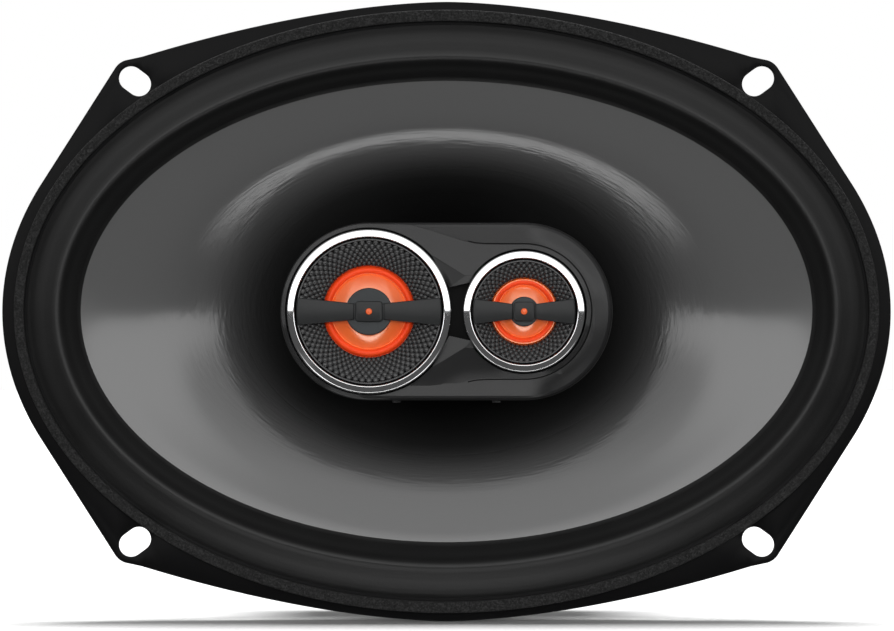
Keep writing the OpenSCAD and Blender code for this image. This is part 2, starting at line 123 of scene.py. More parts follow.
def rounded(profile, radius, n=4):
    """A closed profile with each corner turned into a small arc."""
    out = []
    m = len(profile)
    for i in range(m):
        a, b, c = (Vector(profile[(i + k) % m]) for k in (-1, 0, 1))
        u, v = (a - b), (c - b)
        if u.length < 1e-6 or v.length < 1e-6:
            continue
        r = radius[i] if isinstance(radius, (list, tuple)) else radius
        if abs(b.x) < 1e-6 or r <= 0:
            out.append(tuple(b))
            continue
        d = min(r, u.length * 0.45, v.length * 0.45)
        p, q = b + u.normalized() * d, b + v.normalized() * d
        for k in range(n + 1):
            t = k / n
            out.append(tuple((1 - t) ** 2 * p + 2 * t * (1 - t) * b + t * t * q))
    return out


def spun(profile, x=0, y=0, segs=128, mi=0, turn=0):
    """A closed profile of (radius, height) turned round an axis at (x, y)."""
    m = len(profile)
    pts = [
        (x + r * math.cos(2 * math.pi * i / segs + turn), y + r * math.sin(2 * math.pi * i / segs + turn), z)
        for i in range(segs)
        for r, z in profile
    ]
    faces, uvs = [], []
    for i in range(segs):
        k = (i + 1) % segs
        for j in range(m):
            l = (j + 1) % m
            if profile[j][0] < 1e-9 and profile[l][0] < 1e-9:
                continue
            faces.append([i * m + j, k * m + j, k * m + l, i * m + l])
            u0, u1, v0, v1 = i / segs, (i + 1) / segs, j / m, (j + 1) / m
            uvs.append([(u0, v0), (u1, v0), (u1, v1), (u0, v1)])
    return (pts, faces, mi, uvs)


def oval_swept(rings, segs=288, mi=0):
    """A closed profile of (half length, half width, height) swept round the oval."""
    m = len(rings)
    pts, faces, uvs = [], [], []
    for i in range(segs):
        t = 2 * math.pi * i / segs
        pts += [(a * math.cos(t), b * math.sin(t), z) for a, b, z in rings]
    for i in range(segs):
        k = (i + 1) % segs
        for j in range(m):
            l = (j + 1) % m
            faces.append([i * m + j, k * m + j, k * m + l, i * m + l])
            u0, u1, v0, v1 = i / segs, (i + 1) / segs, j / m, (j + 1) / m
            uvs.append([(u0, v0), (u1, v0), (u1, v1), (u0, v1)])
    return (pts, faces, mi, uvs)


def oval(a, b, n=288, start=0.0):
    return [(a * math.cos(start + 2 * math.pi * i / n), b * math.sin(start + 2 * math.pi * i / n)) for i in range(n)]


def circle(r, x=0, y=0, n=96):
    return [(x + r * math.cos(2 * math.pi * i / n), y + r * math.sin(2 * math.pi * i / n)) for i in range(n)]


def area(loop):
    return 0.5 * sum(a[0] * b[1] - b[0] * a[1] for a, b in zip(loop, loop[1:] + loop[:1]))


def inset(loop, d):
    """The loop moved d to its left, corners mitred. A counter-clockwise loop shrinks."""
    p = np.array(loop, float)
    e = np.roll(p, -1, 0) - p
    e /= np.maximum(np.linalg.norm(e, axis=1), 1e-12)[:, None]
    nrm = np.stack([-e[:, 1], e[:, 0]], 1)
    before = np.roll(nrm, 1, 0)
    s = nrm + before
    s /= np.maximum(0.25, (1 + (nrm * before).sum(1)))[:, None]
    return [tuple(v) for v in p + s * d]


def inside(loop, q):
    """Which of the points q lie inside the loop."""
    p = np.array(loop, float)
    x, y = q[:, 0][:, None], q[:, 1][:, None]
    x0, y0 = p[:, 0][None], p[:, 1][None]
    x1, y1 = np.roll(p, -1, 0)[:, 0][None], np.roll(p, -1, 0)[:, 1][None]
    cross = ((y0 > y) != (y1 > y)) & (x < (x1 - x0) * (y - y0) / np.where(y1 == y0, 1e-12, y1 - y0) + x0)
    return cross.sum(1) % 2 == 1


def cap(loops, height, extra=(), creases=()):
    """Triangles over loops[0] without the holes loops[1:], each point at height(x, y)."""
    co, edges = [], []
    for loop in loops:
        n0 = len(co)
        co += [Vector(p) for p in loop]
        edges += [(n0 + i, n0 + (i + 1) % len(loop)) for i in range(len(loop))]
    for line in creases:
        n0 = len(co)
        co += [Vector(p) for p in line]
        edges += [(n0 + i, n0 + i + 1) for i in range(len(line) - 1)]
    co += [Vector(p) for p in extra]
    vs, _, fs, *_ = delaunay_2d_cdt(co, edges, [], 0, 1e-7)
    q = np.array([[v.x, v.y] for v in vs])
    tri = [f for f in fs if len(f) == 3]
    mid = np.array([(q[a] + q[b] + q[c]) / 3 for a, b, c in tri])
    keep = inside(loops[0], mid)
    for hole in loops[1:]:
        keep &= ~inside(hole, mid)
    return [(v.x, v.y, height(v.x, v.y)) for v in vs], [list(t) for t, k in zip(tri, keep) if k]


def plate(loops, low, high, bevel=0.3, mi=0, n=3, extra=(), creases=(), bevel_low=None):
    """A sheet with holes and rounded edges. low and high are heights, or functions of (x, y)."""
    lo = low if callable(low) else (lambda x, y: low)
    hi = high if callable(high) else (lambda x, y: high)
    loops = [list(l) for l in loops]
    loops = [l if (area(l) > 0) == (i == 0) else l[::-1] for i, l in enumerate(loops)]
    bevels = bevel if isinstance(bevel, (list, tuple)) else [bevel] * len(loops)
    parts, tops, bots = [], [], []
    for loop, b in zip(loops, bevels):
        bl = b if bevel_low is None else bevel_low
        rings = []
        for k in range(n + 1):
            w = math.pi / 2 * k / n
            d, up = bl * (1 - math.sin(w)), bl * (1 - math.cos(w))
            rings.append([(x, y, lo(x, y) + up) for x, y in inset(loop, d)])
        for k in range(n + 1):
            w = math.pi / 2 * k / n
            d, down = b * (1 - math.cos(w)), b * (1 - math.sin(w))
            rings.append([(x, y, hi(x, y) - down) for x, y in inset(loop, d)])
        m = len(loop)
        pts = [p for r in rings for p in r]
        faces = [
            [j * m + i, j * m + (i + 1) % m, (j + 1) * m + (i + 1) % m, (j + 1) * m + i]
            for j in range(len(rings) - 1)
            for i in range(m)
        ]
        parts.append((pts, faces, mi))
        bots.append([p[:2] for p in rings[0]])
        tops.append([p[:2] for p in rings[-1]])
    parts.append((*cap(tops, hi, extra, creases), mi))
    parts.append((*cap(bots, lo), mi))
    return parts


def tube(route, r, sides=12, mi=0, per=6):
    """A round tube along a smooth curve through the route's points."""
    q = [Vector(p) for p in route]
    pts = []
    for i in range(len(q) - 1):
        a, b, c, d = q[max(i - 1, 0)], q[i], q[i + 1], q[min(i + 2, len(q) - 1)]
        for k in range(per):
            t = k / per
            pts.append(0.5 * ((2 * b) + (c - a) * t + (2 * a - 5 * b + 4 * c - d) * t * t + (3 * b - a - 3 * c + d) * t ** 3))
    pts.append(q[-1])
    out, faces, uvs = [], [], []
    up = Vector((1, 0, 0))
    for i, p in enumerate(pts):
        d = (pts[min(i + 1, len(pts) - 1)] - pts[max(i - 1, 0)]).normalized()
        up = (up - d * up.dot(d)).normalized()
        side = d.cross(up)
        for k in range(sides):
            w = 2 * math.pi * k / sides
            out.append(tuple(p + r * (math.cos(w) * up + math.sin(w) * side)))
    n = len(pts)
    for i in range(n - 1):
        for k in range(sides):
            l = (k + 1) % sides
            faces.append([i * sides + k, i * sides + l, (i + 1) * sides + l, (i + 1) * sides + k])
            uvs.append([(k / sides, i / n), ((k + 1) / sides, i / n), ((k + 1) / sides, (i + 1) / n), (k / sides, (i + 1) / n)])
    faces += [list(range(sides))[::-1], [(n - 1) * sides + k for k in range(sides)]]
    uvs += [[(0, 0)] * sides, [(0, 0)] * sides]
    return (out, faces, mi, uvs)


def spline(points, per=5):
    """A smooth line through points of (distance, height)."""
    q = [Vector(p) for p in points]
    out = []
    for i in range(len(q) - 1):
        a, b, c, d = q[max(i - 1, 0)], q[i], q[i + 1], q[min(i + 2, len(q) - 1)]
        for k in range(per):
            t = k / per
            out.append(tuple(0.5 * ((2 * b) + (c - a) * t + (2 * a - 5 * b + 4 * c - d) * t * t + (3 * b - a - 3 * c + d) * t ** 3)))
    out.append(tuple(q[-1]))
    return out


# ------------------------------------------------------------------ materials
class Mat:
    """A Principled material with a few node helpers. Positions are object coordinates in metres."""

    def __init__(self, name, rough=0.5, metal=0.0, **sockets):
        self.m = bpy.data.materials.new(name)
        self.m.use_nodes = True
        self.t = self.m.node_tree
        self.b = self.t.nodes["Principled BSDF"]
        self.b.inputs["Roughness"].default_value = rough
        self.b.inputs["Metallic"].default_value = metal
        for k, v in sockets.items():
            self.b.inputs[k.replace("_", " ")].default_value = v
        self.co = self.node("ShaderNodeTexCoord")
        self.bump_in = None

    def node(self, kind, **props):
        n = self.t.nodes.new(kind)
        for k, v in props.items():
            setattr(n, k, v)
        return n

    def link(self, a, b):
        self.t.links.new(a, b)

    def noise(self, scale, detail=3, rough=0.5, stretch=None, source="Object", distort=0):
        n = self.node("ShaderNodeTexNoise")
        n.inputs["Scale"].default_value = scale
        n.inputs["Detail"].default_value = detail
        n.inputs["Roughness"].default_value = rough
        n.inputs["Distortion"].default_value = distort
        if stretch:
            mp = self.node("ShaderNodeMapping")
            mp.inputs["Scale"].default_value = stretch
            self.link(self.co.outputs[source], mp.inputs[0])
            self.link(mp.outputs[0], n.inputs["Vector"])
        else:
            self.link(self.co.outputs[source], n.inputs["Vector"])
        return n.outputs["Fac"]

    def ramp(self, fac, stops):
        r = self.node("ShaderNodeValToRGB")
        e = r.color_ramp.elements
        while len(e) > 1:
            e.remove(e[-1])
        for i, (pos, col) in enumerate(stops):
            c = (col, col, col, 1) if isinstance(col, (int, float)) else (*col, 1)
            s = e[0] if i == 0 else e.new(pos)
            s.position = pos
            s.color = c
        self.link(fac, r.inputs[0])
        return r.outputs[0]

    def color(self, fac, stops):
        self.link(self.ramp(fac, stops), self.b.inputs["Base Color"])
        return self

    def roughness(self, fac, lo, hi):
        r = self.node("ShaderNodeMapRange")
        r.inputs["To Min"].default_value = lo
        r.inputs["To Max"].default_value = hi
        self.link(fac, r.inputs[0])
        self.link(r.outputs[0], self.b.inputs["Roughness"])
        return self

    def bump(self, fac, distance, strength=1.0):
        n = self.node("ShaderNodeBump")
        n.inputs["Distance"].default_value = distance
        n.inputs["Strength"].default_value = strength
        self.link(fac, n.inputs["Height"])
        if self.bump_in is not None:
            self.link(self.bump_in, n.inputs["Normal"])
        self.bump_in = n.outputs[0]
        self.link(n.outputs[0], self.b.inputs["Normal"])
        return self


def grey(v):
    return (v, v, v)


def plain(name, rgb, rough, metal=0.0, grain=1500, bump=0.00002, vary=0.12, spread=0.06, **k):
    """Small colour and roughness variation over a fine moulded or brushed grain."""
    m = Mat(name, rough, metal, **k)
    big, fine = m.noise(60, 3), m.noise(grain, 2)
    m.color(big, [(0.3, tuple(c * (1 - vary) for c in rgb)), (0.7, tuple(c * (1 + vary) for c in rgb))])
    m.roughness(fine, max(0.02, rough - spread), min(1, rough + spread))
    m.bump(fine, bump)
    return m


paint = plain("satin_black_paint", (0.003, 0.003, 0.0032), 0.32, grain=1300, bump=0.00001, Specular_IOR_Level=0.08)
back_paint = plain("stamped_steel_paint", (0.006, 0.006, 0.0065), 0.36, grain=1300, bump=0.00001, Specular_IOR_Level=0.4)
steel = plain("zinc_plated_steel", (0.42, 0.42, 0.43), 0.32, 1.0, grain=900, bump=0.000006)
ferrite = plain("sintered_ferrite", (0.03, 0.03, 0.032), 0.75, grain=2600, bump=0.00003)
boot_rubber = plain("boot_rubber", (0.013, 0.013, 0.014), 0.55, grain=1800, bump=0.000025)
board_mat = plain("phenolic_board", (0.018, 0.017, 0.016), 0.55, grain=1600)
brass = plain("blade_brass", (0.72, 0.5, 0.2), 0.28, 1.0, grain=1200, bump=0.000005)
copper = plain("enamelled_copper", (0.5, 0.16, 0.05), 0.3, 0.9, grain=1500)
foil = plain("former_foil", (0.62, 0.62, 0.64), 0.35, 1.0, grain=900, bump=0.000006)
wire_skin = plain("wire_insulation", (0.014, 0.014, 0.014), 0.5, grain=1600)
post_plastic = plain("post_plastic", (0.014, 0.014, 0.014), 0.5, grain=1500)
cup_plastic = plain("cup_plastic", (0.012, 0.012, 0.013), 0.5, grain=1500, bump=0.00003)
bezel_plastic = plain("bezel_plastic", (0.0125, 0.0125, 0.0128), 0.3, grain=1900, bump=0.00001, spread=0.03, Specular_IOR_Level=0.39)
bar_plastic = plain("bar_plastic", (0.0125, 0.0135, 0.014), 0.38, Specular_IOR_Level=0.36, grain=2200, bump=0.00002)
cap_plastic = plain("plug_plastic", (0.016, 0.0205, 0.023), 0.4, grain=2200, bump=0.00002)
# black matte plastic of the driver frames; it also colours the painted shade of the waist channel and the painted
# shadow strip round the deck
dark_plastic_and_painted_shade = plain("dark_plastic_and_painted_shade", (0.005, 0.005, 0.005), 0.6, grain=1500, Specular_IOR_Level=0.06)
chrome = plain("polished_chrome", (0.86, 0.86, 0.87), 0.05, 1.0, grain=700, bump=0.0000012, vary=0.02, spread=0.02)
nickel = plain("nickel_plate", (0.6, 0.58, 0.54), 0.2, 1.0, grain=1000, bump=0.000004)
sleeve = plain("capacitor_sleeve", (0.02, 0.02, 0.1), 0.25, grain=1200, bump=0.00001)
circuit = plain("circuit_board", (0.02, 0.1, 0.035), 0.4, grain=1400)
bead_orange = plain("bead_enamel", (0.86, 0.13, 0.03), 0.25, grain=900, bump=0.000005, vary=0.05)

gasket_mat = Mat("gasket_felt", 0.92, Specular_IOR_Level=0.3)
g1, g2 = gasket_mat.noise(2300, 2, 0.6), gasket_mat.noise(220, 3)
gasket_mat.color(g1, [(0.32, 0.006), (0.5, 0.014), (0.68, 0.032)]).bump(g1, 0.00016).bump(g2, 0.0001)

rubber = Mat("surround_rubber", 0.42, Specular_IOR_Level=0.42)
r1, r2 = rubber.noise(1500, 3), rubber.noise(90, 3)
rubber.color(r2, [(0.3, 0.0075), (0.7, 0.0095)]).roughness(r2, 0.39, 0.45).bump(r1, 0.00003)

cloth = Mat("spider_cloth", 0.85, Sheen_Weight=0.15)
wv = []
for axis in ("X", "Z"):
    w = cloth.node("ShaderNodeTexWave", wave_type="BANDS", bands_direction=axis, wave_profile="SIN")
    w.inputs["Scale"].default_value = 380
    w.inputs["Distortion"].default_value = 0.3
    cloth.link(cloth.co.outputs["Object"], w.inputs["Vector"])
    wv.append(w.outputs["Fac"])
mx = cloth.node("ShaderNodeMath", operation="MAXIMUM")
cloth.link(wv[0], mx.inputs[0]); cloth.link(wv[1], mx.inputs[1])
cloth.color(mx.outputs[0], [(0.35, (0.16, 0.1, 0.02)), (0.9, (0.5, 0.34, 0.08))]).bump(mx.outputs[0], 0.0001)

tinsel = Mat("braided_tinsel", 0.35, 0.8)
tw = tinsel.node("ShaderNodeTexWave", wave_type="BANDS", bands_direction="DIAGONAL")
tw.inputs["Scale"].default_value = 6
tmap = tinsel.node("ShaderNodeMapping"); tmap.inputs["Scale"].default_value = (3, 12, 1)
tinsel.link(tinsel.co.outputs["UV"], tmap.inputs[0]); tinsel.link(tmap.outputs[0], tw.inputs["Vector"])
tinsel.color(tw.outputs["Fac"], [(0.3, (0.2, 0.08, 0.03)), (0.8, (0.66, 0.36, 0.18))]).bump(tw.outputs["Fac"], 0.0001)

# Pearl grey cone: its tone fades to black towards the neck, which is painted shade for the pod's shadow and the dark
# reflections deep in the cone, and faint strokes run round it.
cone_mat = Mat("cone_polypropylene", 0.06, Specular_IOR_Level=0.5, IOR=1.6)
cuv = cone_mat.node("ShaderNodeUVMap", uv_map="UVMap")
csep = cone_mat.node("ShaderNodeSeparateXYZ")
cone_mat.link(cuv.outputs[0], csep.inputs[0])
reach = csep.outputs["Y"]                     # 0 at the neck, 1 at the rim
# base colour by reach: the dark stops towards the neck are painted shade
cone_mat.color(reach, [(0.0, grey(0.002)), (0.3, grey(0.004)), (0.39, grey(0.0115)), (0.45, grey(0.025)), (0.5, grey(0.04)),
                       (0.55, grey(0.057)), (0.6, grey(0.07)), (0.68, grey(0.081)), (0.8, grey(0.087)), (1.0, grey(0.093))])
# (cos, sin) of the turn and the reach, so that the strokes close without a seam
turn2 = cone_mat.node("ShaderNodeMath", operation="MULTIPLY")
turn2.inputs[1].default_value = 2 * math.pi
cone_mat.link(csep.outputs["X"], turn2.inputs[0])
comb = cone_mat.node("ShaderNodeCombineXYZ")
for slot_i, op in ((0, "COSINE"), (1, "SINE")):
    n = cone_mat.node("ShaderNodeMath", operation=op)
    cone_mat.link(turn2.outputs[0], n.inputs[0])
    cone_mat.link(n.outputs[0], comb.inputs[slot_i])
cone_mat.link(reach, comb.inputs[2])
cmap = cone_mat.node("ShaderNodeMapping")
cmap.inputs["Scale"].default_value = (9, 9, 85)
cone_mat.link(comb.outputs[0], cmap.inputs[0])
strokes_n = cone_mat.node("ShaderNodeTexNoise")
strokes_n.inputs["Scale"].default_value = 1.0
strokes_n.inputs["Detail"].default_value = 4
cone_mat.link(cmap.outputs[0], strokes_n.inputs["Vector"])
strokes = strokes_n.outputs["Fac"]
cone_mat.roughness(cone_mat.ramp(reach, [(0.3, 1.0), (0.5, 0.3), (0.62, 0.12), (0.76, 0.0)]), 0.07, 0.5).bump(strokes, 0.00007)
cone_mat.link(cone_mat.ramp(reach, [(0.5, 1.0), (0.6, 0.8), (0.7, 0.3), (0.85, 0.04), (1.0, 0.02)]), cone_mat.bump_in.node.inputs["Strength"])

# Orange film: glossy under a clear coat, with a warm tint in its reflections
film = Mat("orange_film", 0.2, Specular_IOR_Level=0.93, Specular_Tint=(1, 0.86, 0.66, 1), IOR=1.75, Coat_Weight=0.9, Coat_Roughness=0.12)
f1, f2 = film.noise(700, 3), film.noise(150, 2)
film.color(f2, [(0.3, (1.0, 0.135, 0.018)), (0.7, (1.0, 0.17, 0.028))]).roughness(f1, 0.16, 0.26).bump(f1, 0.000006)
film_edge = Mat("orange_edge", 0.42, Specular_IOR_Level=0.3)
f3 = film_edge.noise(300, 2)
film_edge.color(f3, [(0.3, (0.97, 0.062, 0.009)), (0.7, (1.0, 0.078, 0.013))]).roughness(f3, 0.38, 0.48).bump(f3, 0.000006)

mesh_mat = plain("embossed_mesh", (0.032, 0.032, 0.0325), 0.26, grain=1500, bump=0.000008, Specular_IOR_Level=0.65)
# near-black for the dish between the bumps: painted shade in the gaps
mesh_gap_shade_mat = plain("mesh_gaps_painted_shade", (0.002, 0.002, 0.002), 0.7, grain=1500, Specular_IOR_Level=0.06)

# ------------------------------------------------------------------ basket
def quarter():
    ear = [SLOT[i] + SLOT_TRAVEL / 2 * v for i, v in enumerate((math.cos(SLOT_TURN), math.sin(SLOT_TURN)))]
    side = [(FLANGE_W / 2 * math.cos(math.radians(t)), 82.5 * math.sin(math.radians(t))) for t in np.linspace(0, 25, 22)]
    corner = [(ear[0] + 5 * math.cos(math.radians(t)), ear[1] + 5 * math.sin(math.radians(t))) for t in np.linspace(33, 73, 12)]
    edge = [(x, FLANGE_H / 2 - 15.9 * (x / 85) ** 1.7) for x in np.linspace(80.5, 0, 36)]
    return side + corner + edge


SLOT_TURN = math.atan2(SLOT[1], SLOT[0])
q = quarter()
outline = q + [(-x, y) for x, y in q[::-1][1:]] + [(-x, -y) for x, y in q[1:]] + [(x, -y) for x, y in q[::-1][1:-1]]


def slot_loop(sx, sy):
    turn = SLOT_TURN * sx * sy
    out = []
    for end in (1, -1):
        for t in np.linspace(-90, 90, 15):
            w = math.radians(t) + (0 if end == 1 else math.pi)
            x, y = end * SLOT_TRAVEL / 2 + SLOT_R * math.cos(w), SLOT_R * math.sin(w)
            out.append((sx * SLOT[0] + x * math.cos(turn) - y * math.sin(turn), sy * SLOT[1] + x * math.sin(turn) + y * math.cos(turn)))
    return out


slots = [slot_loop(sx, sy) for sx in (1, -1) for sy in (1, -1)]
basket = plate([outline, oval(WELL[0] - 0.05, WELL[1] - 0.05)] + slots, 0, FLANGE_T, [0.35, 0.5] + [0.25] * 4, bevel_low=0.15)
well = rounded([(0, 1.5), (0, -10), (-4.5, -10), (-4.5, -11.2), (1.2, -11.2), (1.2, 0.1)], [0, 1.2, 0.3, 0.3, 1.8, 0.1], 5)
basket.append(oval_swept([(WELL[0] + p, WELL[1] + p, z) for p, z in well], mi=1))
pan = rounded([
    (SHELF_R, SHELF_Z + 2), (SHELF_R - WALL, SHELF_Z + 2), (SHELF_R - WALL, SHELF_Z), (PAN_R - WALL, SHELF_Z),
    (PAN_R - WALL, PAN_Z + WALL), (PAN_HOLE, PAN_Z + WALL), (PAN_HOLE, PAN_Z), (PAN_R, PAN_Z),
    (PAN_R, SHELF_Z - WALL), (SHELF_R, SHELF_Z - WALL),
], [0.4, 0.4, 1, 0.6, 1.2, 0.3, 0.3, 1.6, 0.6, 1.2], 5)
basket.append(spun(pan, segs=192, mi=1))


def arm(angle):
    """Pressed steel arm: thin sheet with rolled edges and a shallow channel down its middle."""
    nu, nv = 24, 28
    def point(u, v, inner):
        t = math.radians(angle + 6 * u * (1 + 0.35 * (smooth01(1 - v / 0.14) + smooth01((v - 0.88) / 0.12))))
        a, b = mix(ARM_TOP[0], ARM_LOW_R, v), mix(ARM_TOP[1], ARM_LOW_R, v)
        along = smooth01(v / 0.16) * smooth01((1 - v) / 0.14)
        channel = 1.3 * along * smooth01((0.62 - abs(u)) / 0.2)
        edge = 0.5 * smooth01((abs(u) - 0.9) / 0.1)
        d = channel + edge + (1.3 if inner else 0)
        z = mix(ARM_TOP_Z, ARM_LOW_Z, v) + (0.3 if inner else 0)
        return ((a - d) * math.cos(t), (b - d) * math.sin(t), z)
    pts = [point(2 * i / nu - 1, j / nv, s) for s in (False, True) for j in range(nv + 1) for i in range(nu + 1)]
    w, half = nu + 1, (nu + 1) * (nv + 1)
    faces = []
    for j in range(nv):
        for i in range(nu):
            f = [j * w + i, j * w + i + 1, (j + 1) * w + i + 1, (j + 1) * w + i]
            faces += [f, [half + k for k in f[::-1]]]
    for j in range(nv):
        for i in (0, nu):
            a, b = j * w + i, (j + 1) * w + i
            faces.append([a, b, half + b, half + a])
    for i in range(nu):
        for j in (0, nv):
            a, b = j * w + i, j * w + i + 1
            faces.append([a, b, half + b, half + a])
    return (pts, faces, 1)


basket += [arm(a) for a in ARMS]
build("basket_stamped", basket, [paint, back_paint], CHASSIS, ["basket"])

# ------------------------------------------------------------------ gasket
def oval_ring(name, outer, inner, low, high, mat, nodes, soft=0.4):
    half = ((outer[0] - inner[0]) / 2, (outer[1] - inner[1]) / 2)
    mid = ((outer[0] + inner[0]) / 2, (outer[1] + inner[1]) / 2)
    p = rounded([(1, low), (1, high), (-1, high), (-1, low)], soft, 5)
    return build(name, [oval_swept([(mid[0] + half[0] * u, mid[1] + half[1] * u, z) for u, z in p])], mat, CHASSIS, nodes)


oval_ring("gasket_felt_ring", (114.3, 79.7), (111.7, 76.7), 1.6, 4.1, gasket_mat, ["front_gasket"], 0.35)

# ------------------------------------------------------------------ surround, between the cone and the chassis
ROLL = [(0.1, -1.7), (0.9, -1.5), (2.2, 0.6), (3.6, 3.4), (4.9, 5.1), (6, 5.65), (7.1, 5.35), (8.4, 4.7), (9.7, 4.05),
        (11, 3.45), (12.2, 2.85), (13, 2.4), (13.7, 2.02), (14.4, 1.75)]
front = [(-0.3, -2.4), (0.3, -2.02)] + spline(ROLL[1:], 5)
back = [(p, max(z - 0.7, FLANGE_T + 0.02) if p > 11 else z - 0.7) for p, z in spline(ROLL[1:], 5)[::-1]] + [(0.2, -2.5), (-0.3, -2.5)]
roll = [(RIM[0] + p * 0.95, RIM[1] + p, z) for p, z in front + back]
surround = build("surround_roll", [oval_swept(roll)], rubber, None, ["surround"], sharp=50)
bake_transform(surround)


def oval_reach(co, a0, b0, da, db):
    """How far each point lies from oval (a0, b0) towards (a0+da, b0+db), from 0 to 1."""
    x, y = np.abs(co[:, 0]) * 1000, np.abs(co[:, 2]) * 1000
    lo, hi = np.full(len(x), -0.2), np.full(len(x), 1.2)
    for _ in range(40):
        m = (lo + hi) / 2
        out = (x / (a0 + da * m)) ** 2 + (y / (b0 + db * m)) ** 2 > 1
        lo, hi = np.where(out, m, lo), np.where(out, hi, m)
    return np.clip((lo + hi) / 2, 0, 1)


def coords(ob):
    co = np.zeros(len(ob.data.vertices) * 3)
    ob.data.vertices.foreach_get("co", co)
    return co.reshape(-1, 3)


reach_out = oval_reach(coords(surround), RIM[0], RIM[1], 13.68, 14.4)

# ------------------------------------------------------------------ cone
def cone_z(s):
    rim_fall = 3.5 * (1 - s) * smooth01((s - 0.68) / 0.24)      # keeps a slope right up to the rim
    return NECK_Z + (-NECK_Z - 2.4) * (1 - (1 - s) ** 2.2) - rim_fall


shares = [1 - (1 - i / 56) ** 1.25 for i in range(57)]
cone_front = [(mix(NECK_R, RIM[0], s), mix(NECK_R, RIM[1], s), cone_z(s)) for s in shares]
cone_pts, cone_faces, cone_uvs = [], [], []
SEG = 320
rows = [(r, s) for r, s in zip(cone_front, shares)] + [((a, b, z - 0.8), s) for (a, b, z), s in zip(cone_front[::-1], shares[::-1])]
for i in range(SEG):
    t = 2 * math.pi * i / SEG
    cone_pts += [(r[0] * math.cos(t), r[1] * math.sin(t), r[2]) for r, _ in rows]
m = len(rows)
for i in range(SEG):
    k = (i + 1) % SEG
    for j in range(m):
        l = (j + 1) % m
        cone_faces.append([i * m + j, k * m + j, k * m + l, i * m + l])
        u0, u1 = i / SEG, (i + 1) / SEG
        cone_uvs.append([(u0, rows[j][1]), (u1, rows[j][1]), (u1, rows[l][1]), (u0, rows[l][1])])
build("cone_shell", [(cone_pts, cone_faces, 0, cone_uvs)], cone_mat, CONE, ["woofer_cone"], sharp=50)

# ------------------------------------------------------------------ spider, between the former and the shelf
SP_IN, SP_OUT, SP_LAND = 19.35, 56.4, PAN_R - WALL - 0.4


def wave_z(r):
    return SHELF_Z + 0.9 + 1.3 * math.sin(2 * math.pi * 5 * (r - SP_IN - 2) / (SP_LAND - SP_IN - 2))


radii = [SP_IN + 2 + (SP_LAND - SP_IN - 2) * i / 90 for i in range(91)]
sp = [(SP_IN, wave_z(radii[0]))] + [(r, wave_z(r)) for r in radii] + [(SP_LAND + 0.7, SHELF_Z + 0.5), (SP_OUT, SHELF_Z + 0.5), (SP_OUT, SHELF_Z)]
sp += [(SP_LAND + 0.7, SHELF_Z)] + [(r, max(wave_z(r) - 0.5, -60)) for r in radii[::-1]] + [(SP_IN, wave_z(radii[0]) - 0.5)]
spider = build("spider_disc", [spun(sp, segs=192)], cloth, None, ["spider"], sharp=60)
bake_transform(spider)
co = coords(spider)

# ------------------------------------------------------------------ coil, motor and boot
def ring_profile(r_in, r_out, low, high):
    return [(r_in, low), (r_out, low), (r_out, high), (r_in, high)]


former = spun(rounded(ring_profile(FORMER_R, FORMER_R + FORMER_T, -64, -33), 0.1, 2), segs=128)
build("former_tube", [former], foil, CONE, ["coil_former"])
turns = [(FORMER_R + FORMER_T + 0.35 + 0.35 * math.cos(w), 0) for w in ()]
wind_out = []
for i in range(30):
    z0 = -62 + 11 * i / 30
    wind_out += [(FORMER_R + FORMER_T + 0.5, z0), (FORMER_R + FORMER_T + COIL_T, z0 + 0.18)]
wind = [(FORMER_R + FORMER_T, -62)] + wind_out + [(FORMER_R + FORMER_T + 0.5, -51), (FORMER_R + FORMER_T, -51)]
build("coil_winding", [spun(wind, segs=128)], copper, CONE, ["voice_coil"], sharp=70)

gap_r = FORMER_R + FORMER_T + COIL_T + 0.6
build("front_plate_steel", [spun(rounded(ring_profile(gap_r, PLATE_R, PLATE_LOW, PAN_Z), 0.5), segs=160)], steel, CHASSIS, ["top_plate"])
build("ferrite_ring", [spun(rounded(ring_profile(gap_r + 3.4, MAGNET_R, MAGNET_LOW, PLATE_LOW), 0.9), segs=160)], ferrite, CHASSIS, ["magnet"])
yoke = rounded([(9, YOKE_LOW), (PLATE_R, YOKE_LOW), (PLATE_R, MAGNET_LOW), (18.4, MAGNET_LOW), (18.4, -53), (5, -53), (5, YOKE_LOW + 3.5), (9, YOKE_LOW + 3.5)], 0.5)
build("yoke_and_pole", [spun(yoke, segs=160)], steel, CHASSIS, ["pole_yoke"])

# Rubber boot: rounded lip and rim, three shallow grooves round it and a raised ring on its back
R = MAGNET_R + 2.2
side = [(R, BOOT_LOW + 1.8)]
for z in (-78, -70, -62):
    side += [(R, z - 0.9), (R - 0.6, z - 0.45), (R - 0.6, z + 0.45), (R, z + 0.9)]
boot = [(0, BOOT_LOW + 0.5), (28, BOOT_LOW + 0.5), (28.6, BOOT_LOW), (40, BOOT_LOW), (40.6, BOOT_LOW + 0.5), (44, BOOT_LOW + 0.5), (44.6, BOOT_LOW),
        (R - 2.2, BOOT_LOW), (R - 0.6, BOOT_LOW + 0.5)] + side + [(R, BOOT_TOP - 0.7), (R - 0.6, BOOT_TOP), (R - 1.6, BOOT_TOP), (R - 2.1, BOOT_TOP - 0.5),
        (R - 2.1, BOOT_LOW + 1.2), (0, BOOT_LOW + 1.2)]
y0, y1 = -MAGNET_R - 4, -MAGNET_R + 3.5
channel = plate([[(-3.6, y0), (3.6, y0), (3.6, y1), (2.2, y1), (2.2, y0 + 1.5), (-2.2, y0 + 1.5), (-2.2, y1), (-3.6, y1)]], BOOT_LOW + 0.6, BOOT_TOP, 0.4)
floor_tab = plate([[(-3.5, y0 + 0.1), (3.5, y0 + 0.1), (3.5, y1), (-3.5, y1)]], BOOT_LOW + 0.05, BOOT_LOW + 1.3, 0.35)
build("boot_moulding", [spun(boot, segs=192)] + channel + floor_tab, boot_rubber, CHASSIS, ["magnet_boot"], sharp=18)

